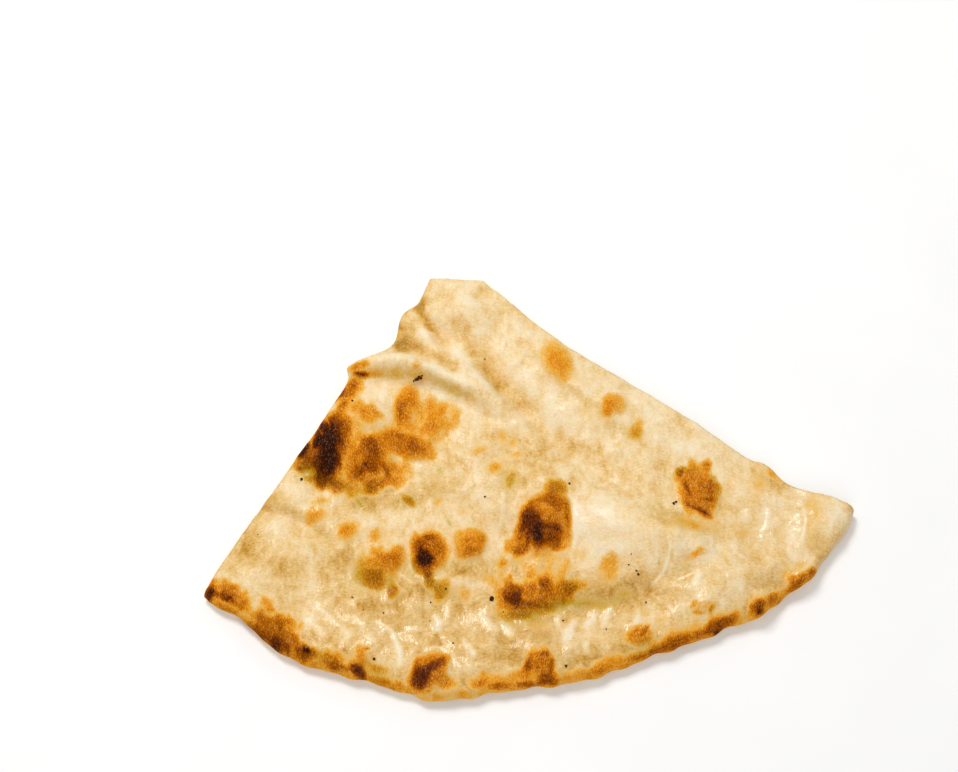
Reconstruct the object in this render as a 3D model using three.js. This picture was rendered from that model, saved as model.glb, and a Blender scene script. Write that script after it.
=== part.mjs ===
import * as THREE from 'three';

// A quarter of a large round naan, lying on a table with its baked side up.
// Millimetres, +Z up, the table is z = 0 and the middle of the footprint is x = y = 0.
// The round was cut twice across its middle. The quarter keeps the round's puffed rim in front
// (-Y), and its two cut sides run back to a blunt point. It is one thin wavy sheet of bread:
// it rests flat on the table in wide patches, and rises off it under its folds and humps.

// ---------- Driving sizes ----------

const DOUGH = 5.0; // thickness of the sheet between its blisters
const RIM_SWELL = 1.6; // how much thicker the sheet is just inside its rim
const RIM_INSET = 9; // distance from the rim to the thickest part of that swelling
const RIM_BAND = 9; // how far the swelling spreads to either side
const CUT_SQUEEZE = 0.7; // the knife pressed the cut sides this much thinner
const CUT_BAND = 4; // how far in from a cut side that reaches
const TABLE_HOLD = 1.0; // rises smaller than this lie flat on the table
const TABLE_BLEND = 1.2; // how gently the sheet leaves the table

const RINGS = 68; // rows of triangles from the point to the rim
const POINT_STEPS = 6; // triangles along the blunt point
const RIM_ROWS = [0, 0.5, 1.6, 3.4]; // distances from the rim to the last rows, which round it
const BREAD_REACH = 172; // mean distance from the point to the rim

// ---------- Outline, corner by corner ----------

const LEFT_CUT = [
  [-38.2, 84.2], [-42.4, 74.2], [-48.8, 67.6], [-51.4, 57.0], [-58.2, 50.0], [-68.2, 43.8],
  [-68.4, 38.6], [-75.8, 23.6], [-86.4, 6.4], [-94.6, -8.2], [-98.8, -14.0], [-103.4, -22.6],
  [-116.0, -46.2],
];
const RIGHT_CUT = [
  [-17.8, 83.0], [2.8, 63.8], [18.8, 50.6], [36.2, 38.6], [57.2, 23.6], [77.4, 8.2], [85.8, 4.2],
  [93.4, -3.6], [108.0, -9.8], [116.0, -13.6],
];
const RIM = [
  [-116.0, -46.2], [-111.0, -50.2], [-102.4, -54.4], [-95.0, -61.6], [-84.0, -69.2], [-70.0, -74.0],
  [-54.0, -78.2], [-37.0, -83.6], [-26.5, -83.4], [-8.0, -80.2], [10.8, -78.0], [25.0, -74.4],
  [40.4, -68.2], [58.2, -62.0], [70.0, -56.8], [79.6, -53.6], [87.2, -47.2], [97.6, -40.0],
  [106.0, -29.2], [112.8, -21.0], [116.0, -13.6],
];
const RIM_RIPPLE = { high: 0.35, waves: 37, second: 0.25, secondWaves: 61 };

// ---------- Folds, humps and hollows of the sheet: both faces follow these ----------

const HUMPS = [
  { name: 'right hump', x: 40, y: -24, long: 34, wide: 17, turn: -28, high: 10.0 },
  { name: 'shoulder beside the valley', x: 22, y: 34, long: 34, wide: 13, turn: -38, high: 5.0 },
  { name: 'point', x: -27, y: 70, long: 16, wide: 12, turn: -55, high: 4.5 },
  { name: 'back of the left side', x: -66, y: 20, long: 20, wide: 12, turn: 60, high: 4.6 },
  { name: 'left flap', x: -92, y: -34, long: 22, wide: 14, turn: 30, high: 3.8 },
  { name: 'middle', x: -20, y: -4, long: 24, wide: 14, turn: -35, high: 3.8 },
  { name: 'front apron', x: -18, y: -66, long: 34, wide: 9, turn: -2, high: 3.2 },
  { name: 'right apron', x: 66, y: -44, long: 22, wide: 9, turn: 28, high: 3.0 },
  { name: 'right end', x: 104, y: -14, long: 15, wide: 10, turn: 60, high: 3.6 },
];

const FOLDS = [
  {
    name: 'rolled pleat', high: 7.0, front: 4.6, back: 5.4,
    path: [[-84.0, 37.0], [-67.0, 43.4], [-58.0, 45.6], [-49.0, 45.4], [-34.0, 40.0], [-20.0, 31.5], [-8.0, 22.0]],
  },
  {
    name: 'ridge from the point', high: 3.4, front: 4.4, back: 3.8,
    path: [[-50.0, 80.0], [-43.0, 68.0], [-36.0, 54.0], [-24.0, 44.0], [-10.0, 29.0], [8.0, 8.0]],
  },
  {
    name: 'edge of the left flap', high: 2.2, front: 2.8, back: 8.0,
    path: [[-118.0, -8.0], [-98.0, -10.0], [-84.0, -14.0], [-66.0, -24.0]],
  },
];

// ---------- Hollows in the upper face only ----------

const VALLEYS = [
  {
    name: 'long valley', high: -3.2, front: 4.6, back: 4.0,
    path: [[-31.0, 64.0], [-21.0, 52.0], [-13.0, 40.0], [-2.0, 28.5], [16.0, 8.0], [34.0, -9.0], [64.0, -24.0]],
  },
  {
    name: 'short valley', high: -2.8, front: 3.4, back: 3.4,
    path: [[-50.0, 84.0], [-43.5, 71.5], [-37.0, 61.5], [-31.5, 53.5], [-24.0, 46.0]],
  },
  {
    name: 'crease under the pleat', high: -1.4, front: 3.2, back: 2.8,
    path: [[-82.0, 30.0], [-66.0, 37.6], [-50.0, 37.2], [-36.0, 35.0], [-24.0, 30.0], [-12.0, 20.0]],
  },
  {
    name: 'trough behind the aprons', high: -1.8, front: 6.5, back: 6.0,
    path: [[-30.0, -50.0], [8.0, -53.5], [32.0, -50.0], [54.0, -38.0], [82.0, -24.0]],
  },
  {
    name: 'crease of the left flap', high: -1.6, front: 2.6, back: 2.6,
    path: [[-116.0, -12.0], [-99.0, -14.0], [-85.0, -18.0], [-68.0, -28.0]],
  },
];
const POCKET = { name: 'hollow behind the pleat', x: -47, y: 54.5, long: 9, wide: 5, turn: -25, high: -2.4 };

// ---------- Blisters of the upper face ----------

const BLISTERS = [
  { name: 'great blister', x: 4.2, y: -18.0, long: 14.5, wide: 9.4, turn: 74, high: 6.4 },
  { name: 'patch below it', x: 0.0, y: -46.0, long: 13.5, wide: 7.4, turn: 12, high: 2.6 },
  { name: 'wrinkled blister', x: 59.6, y: -7.0, long: 12.5, wide: 9.2, turn: 98, high: 3.6 },
  { name: 'oval on the shoulder', x: 9.8, y: 46.5, long: 10.5, wide: 6.6, turn: 110, high: 1.8 },
  { name: 'round on the shoulder', x: 30.0, y: 27.5, long: 6.2, wide: 5.4, turn: 0, high: 1.4 },
  { name: 'burnt egg', x: -37.0, y: -31.5, long: 8.8, wide: 6.8, turn: 100, high: 4.4 },
  { name: 'gold egg', x: -22.5, y: -27.2, long: 7.2, wide: 6.6, turn: 20, high: 3.6 },
  { name: 'olive lobe', x: -56.0, y: -36.5, long: 8.8, wide: 8.2, turn: 0, high: 2.8 },
  { name: 'lobe beside it', x: -48.0, y: -33.0, long: 5.2, wide: 4.0, turn: 80, high: 1.8 },
  { name: 'front char', x: -36.0, y: -75.0, long: 8.8, wide: 7.0, turn: 50, high: 4.0 },
  { name: 'front brown', x: 2.0, y: -71.5, long: 6.2, wide: 5.0, turn: 90, high: 2.4 },
  { name: 'front gold', x: 36.5, y: -61.5, long: 5.2, wide: 4.4, turn: 30, high: 2.0 },
  { name: 'front orange', x: 59.0, y: -52.0, long: 4.8, wide: 3.4, turn: 10, high: 1.2 },
  { name: 'rim knob', x: 79.4, y: -50.6, long: 6.4, wide: 5.4, turn: 40, high: 3.0 },
  { name: 'second rim knob', x: 94.0, y: -40.6, long: 7.8, wide: 4.6, turn: 36, high: 2.8 },
  { name: 'burnt edge', x: -74.5, y: 11.0, long: 16.0, wide: 7.2, turn: 80, high: 3.6 },
  { name: 'brown arm', x: -57.5, y: 6.0, long: 11.0, wide: 8.2, turn: 75, high: 3.2 },
  { name: 'brown arm end', x: -43.0, y: 11.0, long: 9.0, wide: 5.8, turn: -25, high: 2.8 },
  { name: 'upper lobe', x: -46.5, y: 28.0, long: 8.0, wide: 5.8, turn: 80, high: 2.4 },
  { name: 'right lobe', x: -36.5, y: 19.5, long: 8.6, wide: 6.2, turn: 60, high: 2.2 },
  { name: 'front corner knob', x: -60.0, y: -70.0, long: 4.8, wide: 4.0, turn: 60, high: 1.8 },
  { name: 'left gold', x: -66.0, y: -23.5, long: 4.2, wide: 3.6, turn: 60, high: 1.2 },
  { name: 'small gold', x: -44.5, y: -11.0, long: 3.6, wide: 2.8, turn: -45, high: 1.1 },
];

const BUBBLES = { count: 150, seed: 41, least: 3.2, most: 8.5, low: 0.25, high: 0.85 };

// ---------- Curves ----------

const smoothCurve = (points) =>
  new THREE.CatmullRomCurve3(points.map(([x, y]) => new THREE.Vector3(x, y, 0)), false, 'catmullrom', 0.5);

const pointEdge = [LEFT_CUT[0], RIGHT_CUT[0]];
const leftCurve = smoothCurve(LEFT_CUT);
const rightCurve = smoothCurve(RIGHT_CUT);
const rimCurve = smoothCurve(RIM);

function rimPoint(across) {
  const on = rimCurve.getPointAt(across);
  const along = rimCurve.getTangentAt(across);
  const fade = Math.sin(Math.PI * across) ** 0.5;
  const wave = RIM_RIPPLE.high * Math.sin(RIM_RIPPLE.waves * Math.PI * across)
    + RIM_RIPPLE.second * Math.sin(RIM_RIPPLE.secondWaves * Math.PI * across + 1);
  return new THREE.Vector2(on.x + along.y * wave * fade, on.y - along.x * wave * fade);
}

// A place on the sheet: across runs from the left cut to the right one, and back runs from the
// point (0) to the rim (1). The four edges are blended so that each is met exactly.
function place(across, back) {
  const left = leftCurve.getPointAt(back);
  const right = rightCurve.getPointAt(back);
  const rim = rimPoint(across);
  const mix = (a, b, t) => a + (b - a) * t;
  const blend = (axis, index) => {
    const sides = mix(left[axis], right[axis], across);
    const ends = mix(mix(pointEdge[0][index], pointEdge[1][index], across), rim[axis], back);
    const corners = mix(
      mix(pointEdge[0][index], pointEdge[1][index], across),
      mix(RIM[0][index], RIM[RIM.length - 1][index], across),
      back,
    );
    return sides + ends - corners;
  };
  return { x: blend('x', 0), y: blend('y', 1) };
}

// ---------- Relief ----------

// Squared distance from the middle of an oval, 1 on its edge.
function ovalDistance(x, y, oval) {
  const turn = THREE.MathUtils.degToRad(oval.turn);
  const dx = x - oval.x;
  const dy = y - oval.y;
  const u = (dx * Math.cos(turn) + dy * Math.sin(turn)) / oval.long;
  const v = (dy * Math.cos(turn) - dx * Math.sin(turn)) / oval.wide;
  return u * u + v * v;
}

const hill = (x, y, oval) => oval.high * Math.exp(-ovalDistance(x, y, oval));

const dome = (x, y, oval) => oval.high * Math.max(0, 1 - ovalDistance(x, y, oval)) ** 1.15;

const sampled = (line) => ({ ...line, stations: smoothCurve(line.path).getPoints(6 * (line.path.length - 1)) });
const folds = FOLDS.map(sampled);
const valleys = VALLEYS.map(sampled);

// Height of a fold (or depth of a valley) that runs along a path. Its section is steeper on one
// side than on the other, and it fades in and out at its ends.
function along(x, y, line) {
  let nearest = Infinity;
  let side = 1;
  let way = 0;
  const last = line.stations.length - 1;
  for (let i = 0; i < last; i += 1) {
    const a = line.stations[i];
    const b = line.stations[i + 1];
    const dx = b.x - a.x;
    const dy = b.y - a.y;
    const t = THREE.MathUtils.clamp(((x - a.x) * dx + (y - a.y) * dy) / (dx * dx + dy * dy), 0, 1);
    const gap = Math.hypot(x - a.x - t * dx, y - a.y - t * dy);
    if (gap < nearest) {
      nearest = gap;
      side = (x - a.x) * dy - (y - a.y) * dx > 0 ? 1 : -1;
      way = (i + t) / last;
    }
  }
  const reach = side > 0 ? line.front : line.back;
  const fade = Math.sin(Math.PI * way) ** 0.6;
  return line.high * fade * Math.exp(-((nearest / reach) ** 2));
}

const total = (list, rule, x, y) => list.reduce((sum, item) => sum + rule(x, y, item), 0);

function seeded(seed) {
  let state = seed;
  return () => {
    state = (Math.imul(state, 1664525) + 1013904223) >>> 0;
    return state / 4294967296;
  };
}

// Small soft bubbles all over the upper face.
function scatterBubbles() {
  const draw = seeded(BUBBLES.seed);
  const list = [];
  for (let i = 0; i < BUBBLES.count; i += 1) {
    const middle = place(draw(), Math.sqrt(draw()));
    const long = BUBBLES.least + (BUBBLES.most - BUBBLES.least) * draw();
    const wide = long * (0.6 + 0.4 * draw());
    const turn = 180 * draw();
    const high = BUBBLES.low + (BUBBLES.high - BUBBLES.low) * draw();
    list.push({ ...middle, long, wide, turn, high });
  }
  return list;
}
const bubbles = scatterBubbles();

// Height of the underside: the table holds it flat wherever the sheet would rise only a little.
function underside(x, y) {
  const rise = total(HUMPS, hill, x, y) + total(folds, along, x, y) - TABLE_HOLD;
  return rise > 0 ? (rise * rise) / (rise + TABLE_BLEND) : 0;
}

function thickness(x, y, fromRim, fromCut) {
  const swell = RIM_SWELL * Math.exp(-(((fromRim - RIM_INSET) / RIM_BAND) ** 2));
  const squeeze = CUT_SQUEEZE * Math.exp(-((fromCut / CUT_BAND) ** 2));
  const relief = total(BLISTERS, dome, x, y) + total(bubbles, hill, x, y)
    + total(valleys, along, x, y) + hill(x, y, POCKET);
  return Math.max(DOUGH + swell - squeeze + relief, DOUGH / 2);
}

// Height and depth of both faces at one place. At the rim they close in a half round.
function heights(across, back) {
  const { x, y } = place(across, back);
  const fromRim = (1 - back) * BREAD_REACH;
  const fromCut = Math.min(across, 1 - across) * back * BREAD_REACH * 1.4;
  const low = underside(x, y);
  const thick = thickness(x, y, fromRim, fromCut);
  const half = DOUGH / 2 + 0.5;
  const inward = Math.min(fromRim / half, 1);
  const round = Math.sqrt(1 - (1 - inward) ** 2);
  const middle = low + thick * 0.45;
  return { x, y, low: middle + (low - middle) * round, high: middle + (low + thick - middle) * round };
}

// ---------- The sheet as one closed mesh ----------

// Row i has i + POINT_STEPS steps across, so that the triangles are of even size.
function rowPlace(row) {
  const evenRows = RINGS - RIM_ROWS.length + 1;
  if (row > evenRows) return 1 - RIM_ROWS[RINGS - row] / BREAD_REACH;
  return (row / evenRows) * (1 - RIM_ROWS[RIM_ROWS.length - 1] / BREAD_REACH);
}

function buildSheet() {
  const positions = [];
  const triangles = [];
  const upper = [];
  const lower = [];
  const addVertex = (x, y, z) => positions.push(x, y, z) / 3 - 1;
  for (let row = 0; row <= RINGS; row += 1) {
    const steps = row + POINT_STEPS;
    upper.push([]);
    lower.push([]);
    for (let i = 0; i <= steps; i += 1) {
      const at = heights(i / steps, rowPlace(row));
      const top = addVertex(at.x, at.y, at.high);
      upper[row].push(top);
      lower[row].push(row === RINGS ? top : addVertex(at.x, at.y, at.low));
    }
  }
  const addTriangle = (face, a, b, c) => {
    if (face === upper) triangles.push(a, b, c);
    else triangles.push(a, c, b);
  };
  for (const face of [upper, lower]) {
    for (let row = 0; row < RINGS; row += 1) {
      const near = face[row];
      const far = face[row + 1];
      for (let i = 0; i < far.length - 1; i += 1) addTriangle(face, near[i], far[i], far[i + 1]);
      for (let i = 0; i < near.length - 1; i += 1) addTriangle(face, near[i], far[i + 1], near[i + 1]);
    }
  }
  const addWall = (top, bottom) => {
    for (let i = 0; i < top.length - 1; i += 1) {
      triangles.push(top[i], bottom[i], bottom[i + 1]);
      if (top[i + 1] !== bottom[i + 1]) triangles.push(top[i], bottom[i + 1], top[i + 1]);
    }
  };
  const firstOf = (face) => face.map((row) => row[0]);
  const lastOf = (face) => face.map((row) => row[row.length - 1]);
  addWall(firstOf(upper), firstOf(lower));
  triangles.push(...wallBackwards(lastOf(upper), lastOf(lower)));
  triangles.push(...wallBackwards(upper[0], lower[0]));
  const geometry = new THREE.BufferGeometry();
  geometry.setAttribute('position', new THREE.Float32BufferAttribute(positions, 3));
  geometry.setIndex(triangles);
  geometry.computeVertexNormals();
  return geometry;
}

// A wall that faces the other way.
function wallBackwards(top, bottom) {
  const out = [];
  for (let i = 0; i < top.length - 1; i += 1) {
    out.push(top[i], bottom[i + 1], bottom[i]);
    if (top[i + 1] !== bottom[i + 1]) out.push(top[i], top[i + 1], bottom[i + 1]);
  }
  return out;
}

const crust = new THREE.MeshStandardMaterial({ color: 0xe8c691, roughness: 0.55, metalness: 0 });
const naan = new THREE.Mesh(buildSheet(), crust);
naan.name = 'naan';

const bread = new THREE.Group();
bread.add(naan);

export default bread;
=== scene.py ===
"""The looks of a quarter of a large round naan.

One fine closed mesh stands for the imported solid: the same sheet, folds and blisters, with the
crust's small relief, its toasting, its butter and the crumb of its cut sides. Burnt flecks lie on it.
Places and sizes are in millimetres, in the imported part's own frame, until a mesh is made.
"""

import math

import bmesh
import bpy
import numpy as np
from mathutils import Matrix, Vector


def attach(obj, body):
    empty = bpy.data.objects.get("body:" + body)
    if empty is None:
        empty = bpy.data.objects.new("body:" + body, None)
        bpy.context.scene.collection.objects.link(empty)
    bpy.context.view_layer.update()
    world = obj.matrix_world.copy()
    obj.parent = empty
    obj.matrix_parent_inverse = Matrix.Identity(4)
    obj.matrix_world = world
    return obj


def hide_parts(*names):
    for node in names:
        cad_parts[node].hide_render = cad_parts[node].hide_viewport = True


MM = 0.001

# ---------- The sheet's sizes and outline, as the solid has them ----------

DOUGH = 5.0
RIM_SWELL = 1.6
RIM_INSET = 9
RIM_BAND = 9
CUT_SQUEEZE = 0.7
CUT_BAND = 4
TABLE_HOLD = 1.0
TABLE_BLEND = 1.2
BREAD_REACH = 172
SECTOR_SPREAD = 1.4

LEFT_CUT = [
    (-38.2, 84.2), (-42.4, 74.2), (-48.8, 67.6), (-51.4, 57), (-58.2, 50), (-68.2, 43.8), (-68.4, 38.6),
    (-75.8, 23.6), (-86.4, 6.4), (-94.6, -8.2), (-98.8, -14), (-103.4, -22.6), (-116, -46.2),
]
RIGHT_CUT = [
    (-17.8, 83), (2.8, 63.8), (18.8, 50.6), (36.2, 38.6), (57.2, 23.6), (77.4, 8.2), (85.8, 4.2),
    (93.4, -3.6), (108, -9.8), (116, -13.6),
]
RIM = [
    (-116, -46.2), (-111, -50.2), (-102.4, -54.4), (-95, -61.6), (-84, -69.2), (-70, -74), (-54, -78.2),
    (-37, -83.6), (-26.5, -83.4), (-8, -80.2), (10.8, -78), (25, -74.4), (40.4, -68.2), (58.2, -62),
    (70, -56.8), (79.6, -53.6), (87.2, -47.2), (97.6, -40), (106, -29.2), (112.8, -21), (116, -13.6),
]
RIM_RIPPLES = [(0.35, 37, 0.0), (0.25, 61, 1.0)]  # height, waves along the rim, phase
CURVE_STEPS = 40  # steps from one outline point to the next

# Humps of the sheet, then blisters on it: x, y, half length, half width, turn in degrees, height
HUMPS = {
    "right hump": (40, -24, 34, 17, -28, 10),
    "shoulder beside the valley": (22, 34, 34, 13, -38, 5),
    "point": (-27, 70, 16, 12, -55, 4.5),
    "back of the left side": (-66, 20, 20, 12, 60, 4.6),
    "left flap": (-92, -34, 22, 14, 30, 3.8),
    "middle": (-20, -4, 24, 14, -35, 3.8),
    "front apron": (-18, -66, 34, 9, -2, 3.2),
    "right apron": (66, -44, 22, 9, 28, 3),
    "right end": (104, -14, 15, 10, 60, 3.6),
}
POCKET = (-47, 54.5, 9, 5, -25, -2.4)
BLISTERS = {
    "great blister": (4.2, -18, 14.5, 9.4, 74, 6.4),
    "patch below it": (0, -46, 13.5, 7.4, 12, 2.6),
    "wrinkled blister": (59.6, -7, 12.5, 9.2, 98, 3.6),
    "oval on the shoulder": (9.8, 46.5, 10.5, 6.6, 110, 1.8),
    "round on the shoulder": (30, 27.5, 6.2, 5.4, 0, 1.4),
    "burnt egg": (-37, -31.5, 8.8, 6.8, 100, 4.4),
    "gold egg": (-22.5, -27.2, 7.2, 6.6, 20, 3.6),
    "olive lobe": (-56, -36.5, 8.8, 8.2, 0, 2.8),
    "lobe beside it": (-48, -33, 5.2, 4, 80, 1.8),
    "front char": (-36, -75, 8.8, 7, 50, 4),
    "front brown": (2, -71.5, 6.2, 5, 90, 2.4),
    "front gold": (36.5, -61.5, 5.2, 4.4, 30, 2),
    "front orange": (59, -52, 4.8, 3.4, 10, 1.2),
    "rim knob": (79.4, -50.6, 6.4, 5.4, 40, 3),
    "second rim knob": (94, -40.6, 7.8, 4.6, 36, 2.8),
    "burnt edge": (-74.5, 11, 16, 7.2, 80, 3.6),
    "brown arm": (-57.5, 6, 11, 8.2, 75, 3.2),
    "brown arm end": (-43, 11, 9, 5.8, -25, 2.8),
    "upper lobe": (-46.5, 28, 8, 5.8, 80, 2.4),
    "right lobe": (-36.5, 19.5, 8.6, 6.2, 60, 2.2),
    "front corner knob": (-60, -70, 4.8, 4, 60, 1.8),
    "left gold": (-66, -23.5, 4.2, 3.6, 60, 1.2),
    "small gold": (-44.5, -11, 3.6, 2.8, -45, 1.1),
}

# Folds and valleys: height, reach in front, reach behind, path
FOLDS = {
    "rolled pleat": (7, 4.6, 5.4, [
        (-84, 37), (-67, 43.4), (-58, 45.6), (-49, 45.4), (-34, 40), (-20, 31.5), (-8, 22),
    ]),
    "ridge from the point": (3.4, 4.4, 3.8, [
        (-50, 80), (-43, 68), (-36, 54), (-24, 44), (-10, 29), (8, 8),
    ]),
    "edge of the left flap": (2.2, 2.8, 8, [(-118, -8), (-98, -10), (-84, -14), (-66, -24)]),
}
VALLEYS = {
    "long valley": (-3.2, 4.6, 4, [
        (-31, 64), (-21, 52), (-13, 40), (-2, 28.5), (16, 8), (34, -9), (64, -24),
    ]),
    "short valley": (-2.8, 3.4, 3.4, [
        (-50, 84), (-43.5, 71.5), (-37, 61.5), (-31.5, 53.5), (-24, 46),
    ]),
    "crease under the pleat": (-1.4, 3.2, 2.8, [
        (-82, 30), (-66, 37.6), (-50, 37.2), (-36, 35), (-24, 30), (-12, 20),
    ]),
    "trough behind the aprons": (-1.8, 6.5, 6, [
        (-30, -50), (8, -53.5), (32, -50), (54, -38), (82, -24),
    ]),
    "crease of the left flap": (-1.6, 2.6, 2.6, [
        (-116, -12), (-99, -14), (-85, -18), (-68, -28),
    ]),
}
BUBBLES = {"count": 150, "seed": 41, "least": 3.2, "most": 8.5, "low": 0.25, "high": 0.85}

# ---------- Fine mesh ----------

ROWS = 276  # rows of triangles from the point to the rim
POINT_STEPS = 24  # triangles along the blunt point
RIM_ROWS = [0, 0.08, 0.3, 0.65, 1.1, 1.65, 2.3, 3.0]  # distances from the rim to its last rows
WALL_ROWS = 9  # rows of triangles down a cut side


# ---------- Curves ----------

def smooth_curve(points, per_segment=6):
    """A Catmull-Rom curve through the points, as a polyline."""
    p = np.array(points, float)
    p = np.vstack([2 * p[0] - p[1], p, 2 * p[-1] - p[-2]])
    t = np.linspace(0, 1, per_segment, endpoint=False)[:, None]
    pieces = []
    for before, start, end, after in zip(p, p[1:], p[2:], p[3:]):
        leave = (end - before) / 2
        arrive = (after - start) / 2
        pieces.append(
            (2 * t**3 - 3 * t**2 + 1) * start + (t**3 - 2 * t**2 + t) * leave
            + (3 * t**2 - 2 * t**3) * end + (t**3 - t**2) * arrive
        )
    return np.vstack(pieces + [p[-2:-1]])


def along_curve(curve, share):
    """Points at shares of a polyline's length."""
    length = np.r_[0, np.cumsum(np.hypot(*np.diff(curve, axis=0).T))]
    at = np.asarray(share) * length[-1]
    return np.stack([np.interp(at, length, curve[:, k]) for k in (0, 1)], axis=-1)


LEFT_CURVE = smooth_curve(LEFT_CUT, CURVE_STEPS)
RIGHT_CURVE = smooth_curve(RIGHT_CUT, CURVE_STEPS)
RIM_CURVE = smooth_curve(RIM, CURVE_STEPS)


def rim_points(across):
    """The rim from left to right, with its ripples."""
    on = along_curve(RIM_CURVE, across)
    step = 1e-4
    ahead = along_curve(RIM_CURVE, np.minimum(across + step, 1))
    way = ahead - along_curve(RIM_CURVE, np.maximum(across - step, 0))
    way /= np.hypot(way[..., 0], way[..., 1])[..., None]
    wave = sum(high * np.sin(waves * np.pi * across + phase) for high, waves, phase in RIM_RIPPLES)
    wave = wave * np.sqrt(np.maximum(np.sin(np.pi * across), 0))
    return on + np.stack([way[..., 1] * wave, -way[..., 0] * wave], axis=-1)


def place(across, back):
    """A place on the sheet: across from the left cut to the right one, back from the point to the rim."""
    across = np.asarray(across, float)
    back = np.asarray(back, float)
    a = across[..., None]
    b = back[..., None]
    sides = along_curve(LEFT_CURVE, back) * (1 - a) + along_curve(RIGHT_CURVE, back) * a
    chord = np.array(RIM[0]) * (1 - a) + np.array(RIM[-1]) * a
    return sides + (rim_points(across) - chord) * b


# ---------- Relief that the solid has too ----------

DOME_POWER = 1.15
FADE_POWER = 0.6
FAR = 1e9
DRAW_STEP = 1664525
DRAW_SHIFT = 1013904223
DRAW_RANGE = 2**32
NARROWEST = 0.6  # least width of a small bubble, as a share of its length
NARROW_SPREAD = 0.4


def oval_distance(x, y, oval):
    """Squared distance from the middle of an oval, 1 on its edge."""
    turn = math.radians(oval[4])
    dx = x - oval[0]
    dy = y - oval[1]
    u = (dx * math.cos(turn) + dy * math.sin(turn)) / oval[2]
    v = (dy * math.cos(turn) - dx * math.sin(turn)) / oval[3]
    return u * u + v * v


def bell(distance, reach):
    return np.exp(-((distance / reach) ** 2))


def hill(x, y, oval):
    return oval[5] * np.exp(-oval_distance(x, y, oval))


def dome(x, y, oval):
    return oval[5] * np.maximum(0, 1 - oval_distance(x, y, oval)) ** DOME_POWER


def together(shape, x, y, marks):
    """The sum of one shape over many marks."""
    return sum(shape(x, y, mark) for mark in marks)


def near_path(x, y, path):
    """Distance to a path, which side of it, and how far along it, from 0 to 1."""
    stations = smooth_curve(path)
    nearest = np.full(x.shape, FAR)
    side = np.ones(x.shape)
    way = np.zeros(x.shape)
    last = len(stations) - 1
    for i in range(last):
        a = stations[i]
        d = stations[i + 1] - a
        t = np.clip(((x - a[0]) * d[0] + (y - a[1]) * d[1]) / (d @ d), 0, 1)
        gap = np.hypot(x - a[0] - t * d[0], y - a[1] - t * d[1])
        closer = gap < nearest
        nearest = np.where(closer, gap, nearest)
        side = np.where(closer, np.sign((x - a[0]) * d[1] - (y - a[1]) * d[0]), side)
        way = np.where(closer, (i + t) / last, way)
    return nearest, side, way


def faded(way):
    return np.sin(np.pi * np.clip(way, 0, 1)) ** FADE_POWER


def fold(x, y, line):
    """A fold or valley along a path: steeper on one side, fading in and out at its ends."""
    high, front, behind, path = line
    nearest, side, way = near_path(x, y, path)
    reach = np.where(side > 0, front, behind)
    return high * faded(way) * bell(nearest, reach)


def seeded(seed):
    """The same draws as the solid's small bubbles have."""
    state = seed
    while True:
        state = (state * DRAW_STEP + DRAW_SHIFT) % DRAW_RANGE
        yield state / DRAW_RANGE


def scatter_bubbles():
    draws = seeded(BUBBLES["seed"])
    bubbles = []
    for _ in range(BUBBLES["count"]):
        across = next(draws)
        back = math.sqrt(next(draws))
        middle = place(across, back)
        long = BUBBLES["least"] + (BUBBLES["most"] - BUBBLES["least"]) * next(draws)
        wide = long * (NARROWEST + NARROW_SPREAD * next(draws))
        turn = 180 * next(draws)
        high = BUBBLES["low"] + (BUBBLES["high"] - BUBBLES["low"]) * next(draws)
        bubbles.append((middle[0], middle[1], long, wide, turn, high))
    return bubbles


SMALL_BUBBLES = scatter_bubbles()


def underside(x, y):
    rise = together(hill, x, y, HUMPS.values()) - TABLE_HOLD
    rise = np.maximum(rise + together(fold, x, y, FOLDS.values()), 0)
    return rise * rise / (rise + TABLE_BLEND)


def thickness(x, y, from_rim, from_cut):
    swell = RIM_SWELL * bell(from_rim - RIM_INSET, RIM_BAND)
    squeeze = CUT_SQUEEZE * bell(from_cut, CUT_BAND)
    relief = together(dome, x, y, BLISTERS.values()) + together(hill, x, y, SMALL_BUBBLES)
    relief = relief + together(fold, x, y, VALLEYS.values()) + hill(x, y, POCKET)
    return np.maximum(DOUGH + swell - squeeze + relief, DOUGH / 2)


# ---------- Noise ----------

LATTICE = 256  # places across the table of random numbers, after which it repeats
OCTAVE_SHIFT_X = 17.3
OCTAVE_SHIFT_Y = 9.1


class Noise:
    """Smooth seeded noise, from about -1 to 1. Shifted places take another part of the same noise."""

    def __init__(self, seed):
        self.lattice = np.random.default_rng(seed).uniform(-1, 1, (LATTICE, LATTICE))

    def __call__(self, x, y, size, octaves=1):
        total = np.zeros(np.shape(x))
        weight = 1.0
        for octave in range(octaves):
            u = x / size + OCTAVE_SHIFT_X * octave
            v = y / size - OCTAVE_SHIFT_Y * octave
            total = total + weight * self.layer(u, v)
            size = size / 2
            weight = weight / 2
        return total

    def layer(self, u, v):
        i = np.floor(u).astype(int)
        j = np.floor(v).astype(int)
        fu = u - i
        fv = v - j
        fu = fu * fu * fu * (fu * (6 * fu - 15) + 10)
        fv = fv * fv * fv * (fv * (6 * fv - 15) + 10)

        def at(p, q):
            return self.lattice[(i + p) % LATTICE, (j + q) % LATTICE]

        low = at(0, 0) * (1 - fu) + at(1, 0) * fu
        high = at(0, 1) * (1 - fu) + at(1, 1) * fu
        return low * (1 - fv) + high * fv


SKIN_NOISE = Noise(3)
WARP_NOISE = Noise(67)
WRINKLE_NOISE = Noise(43)
RAGGED_NOISE = Noise(11)
MARK_NOISE = Noise(51)
CRUST_NOISE = Noise(19)
CRUMB_NOISE = Noise(27)
UNDER_NOISE = Noise(35)


def smooth_step(low, high, value):
    t = np.clip((value - low) / (high - low), 0, 1)
    return t * t * (3 - 2 * t)


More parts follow.
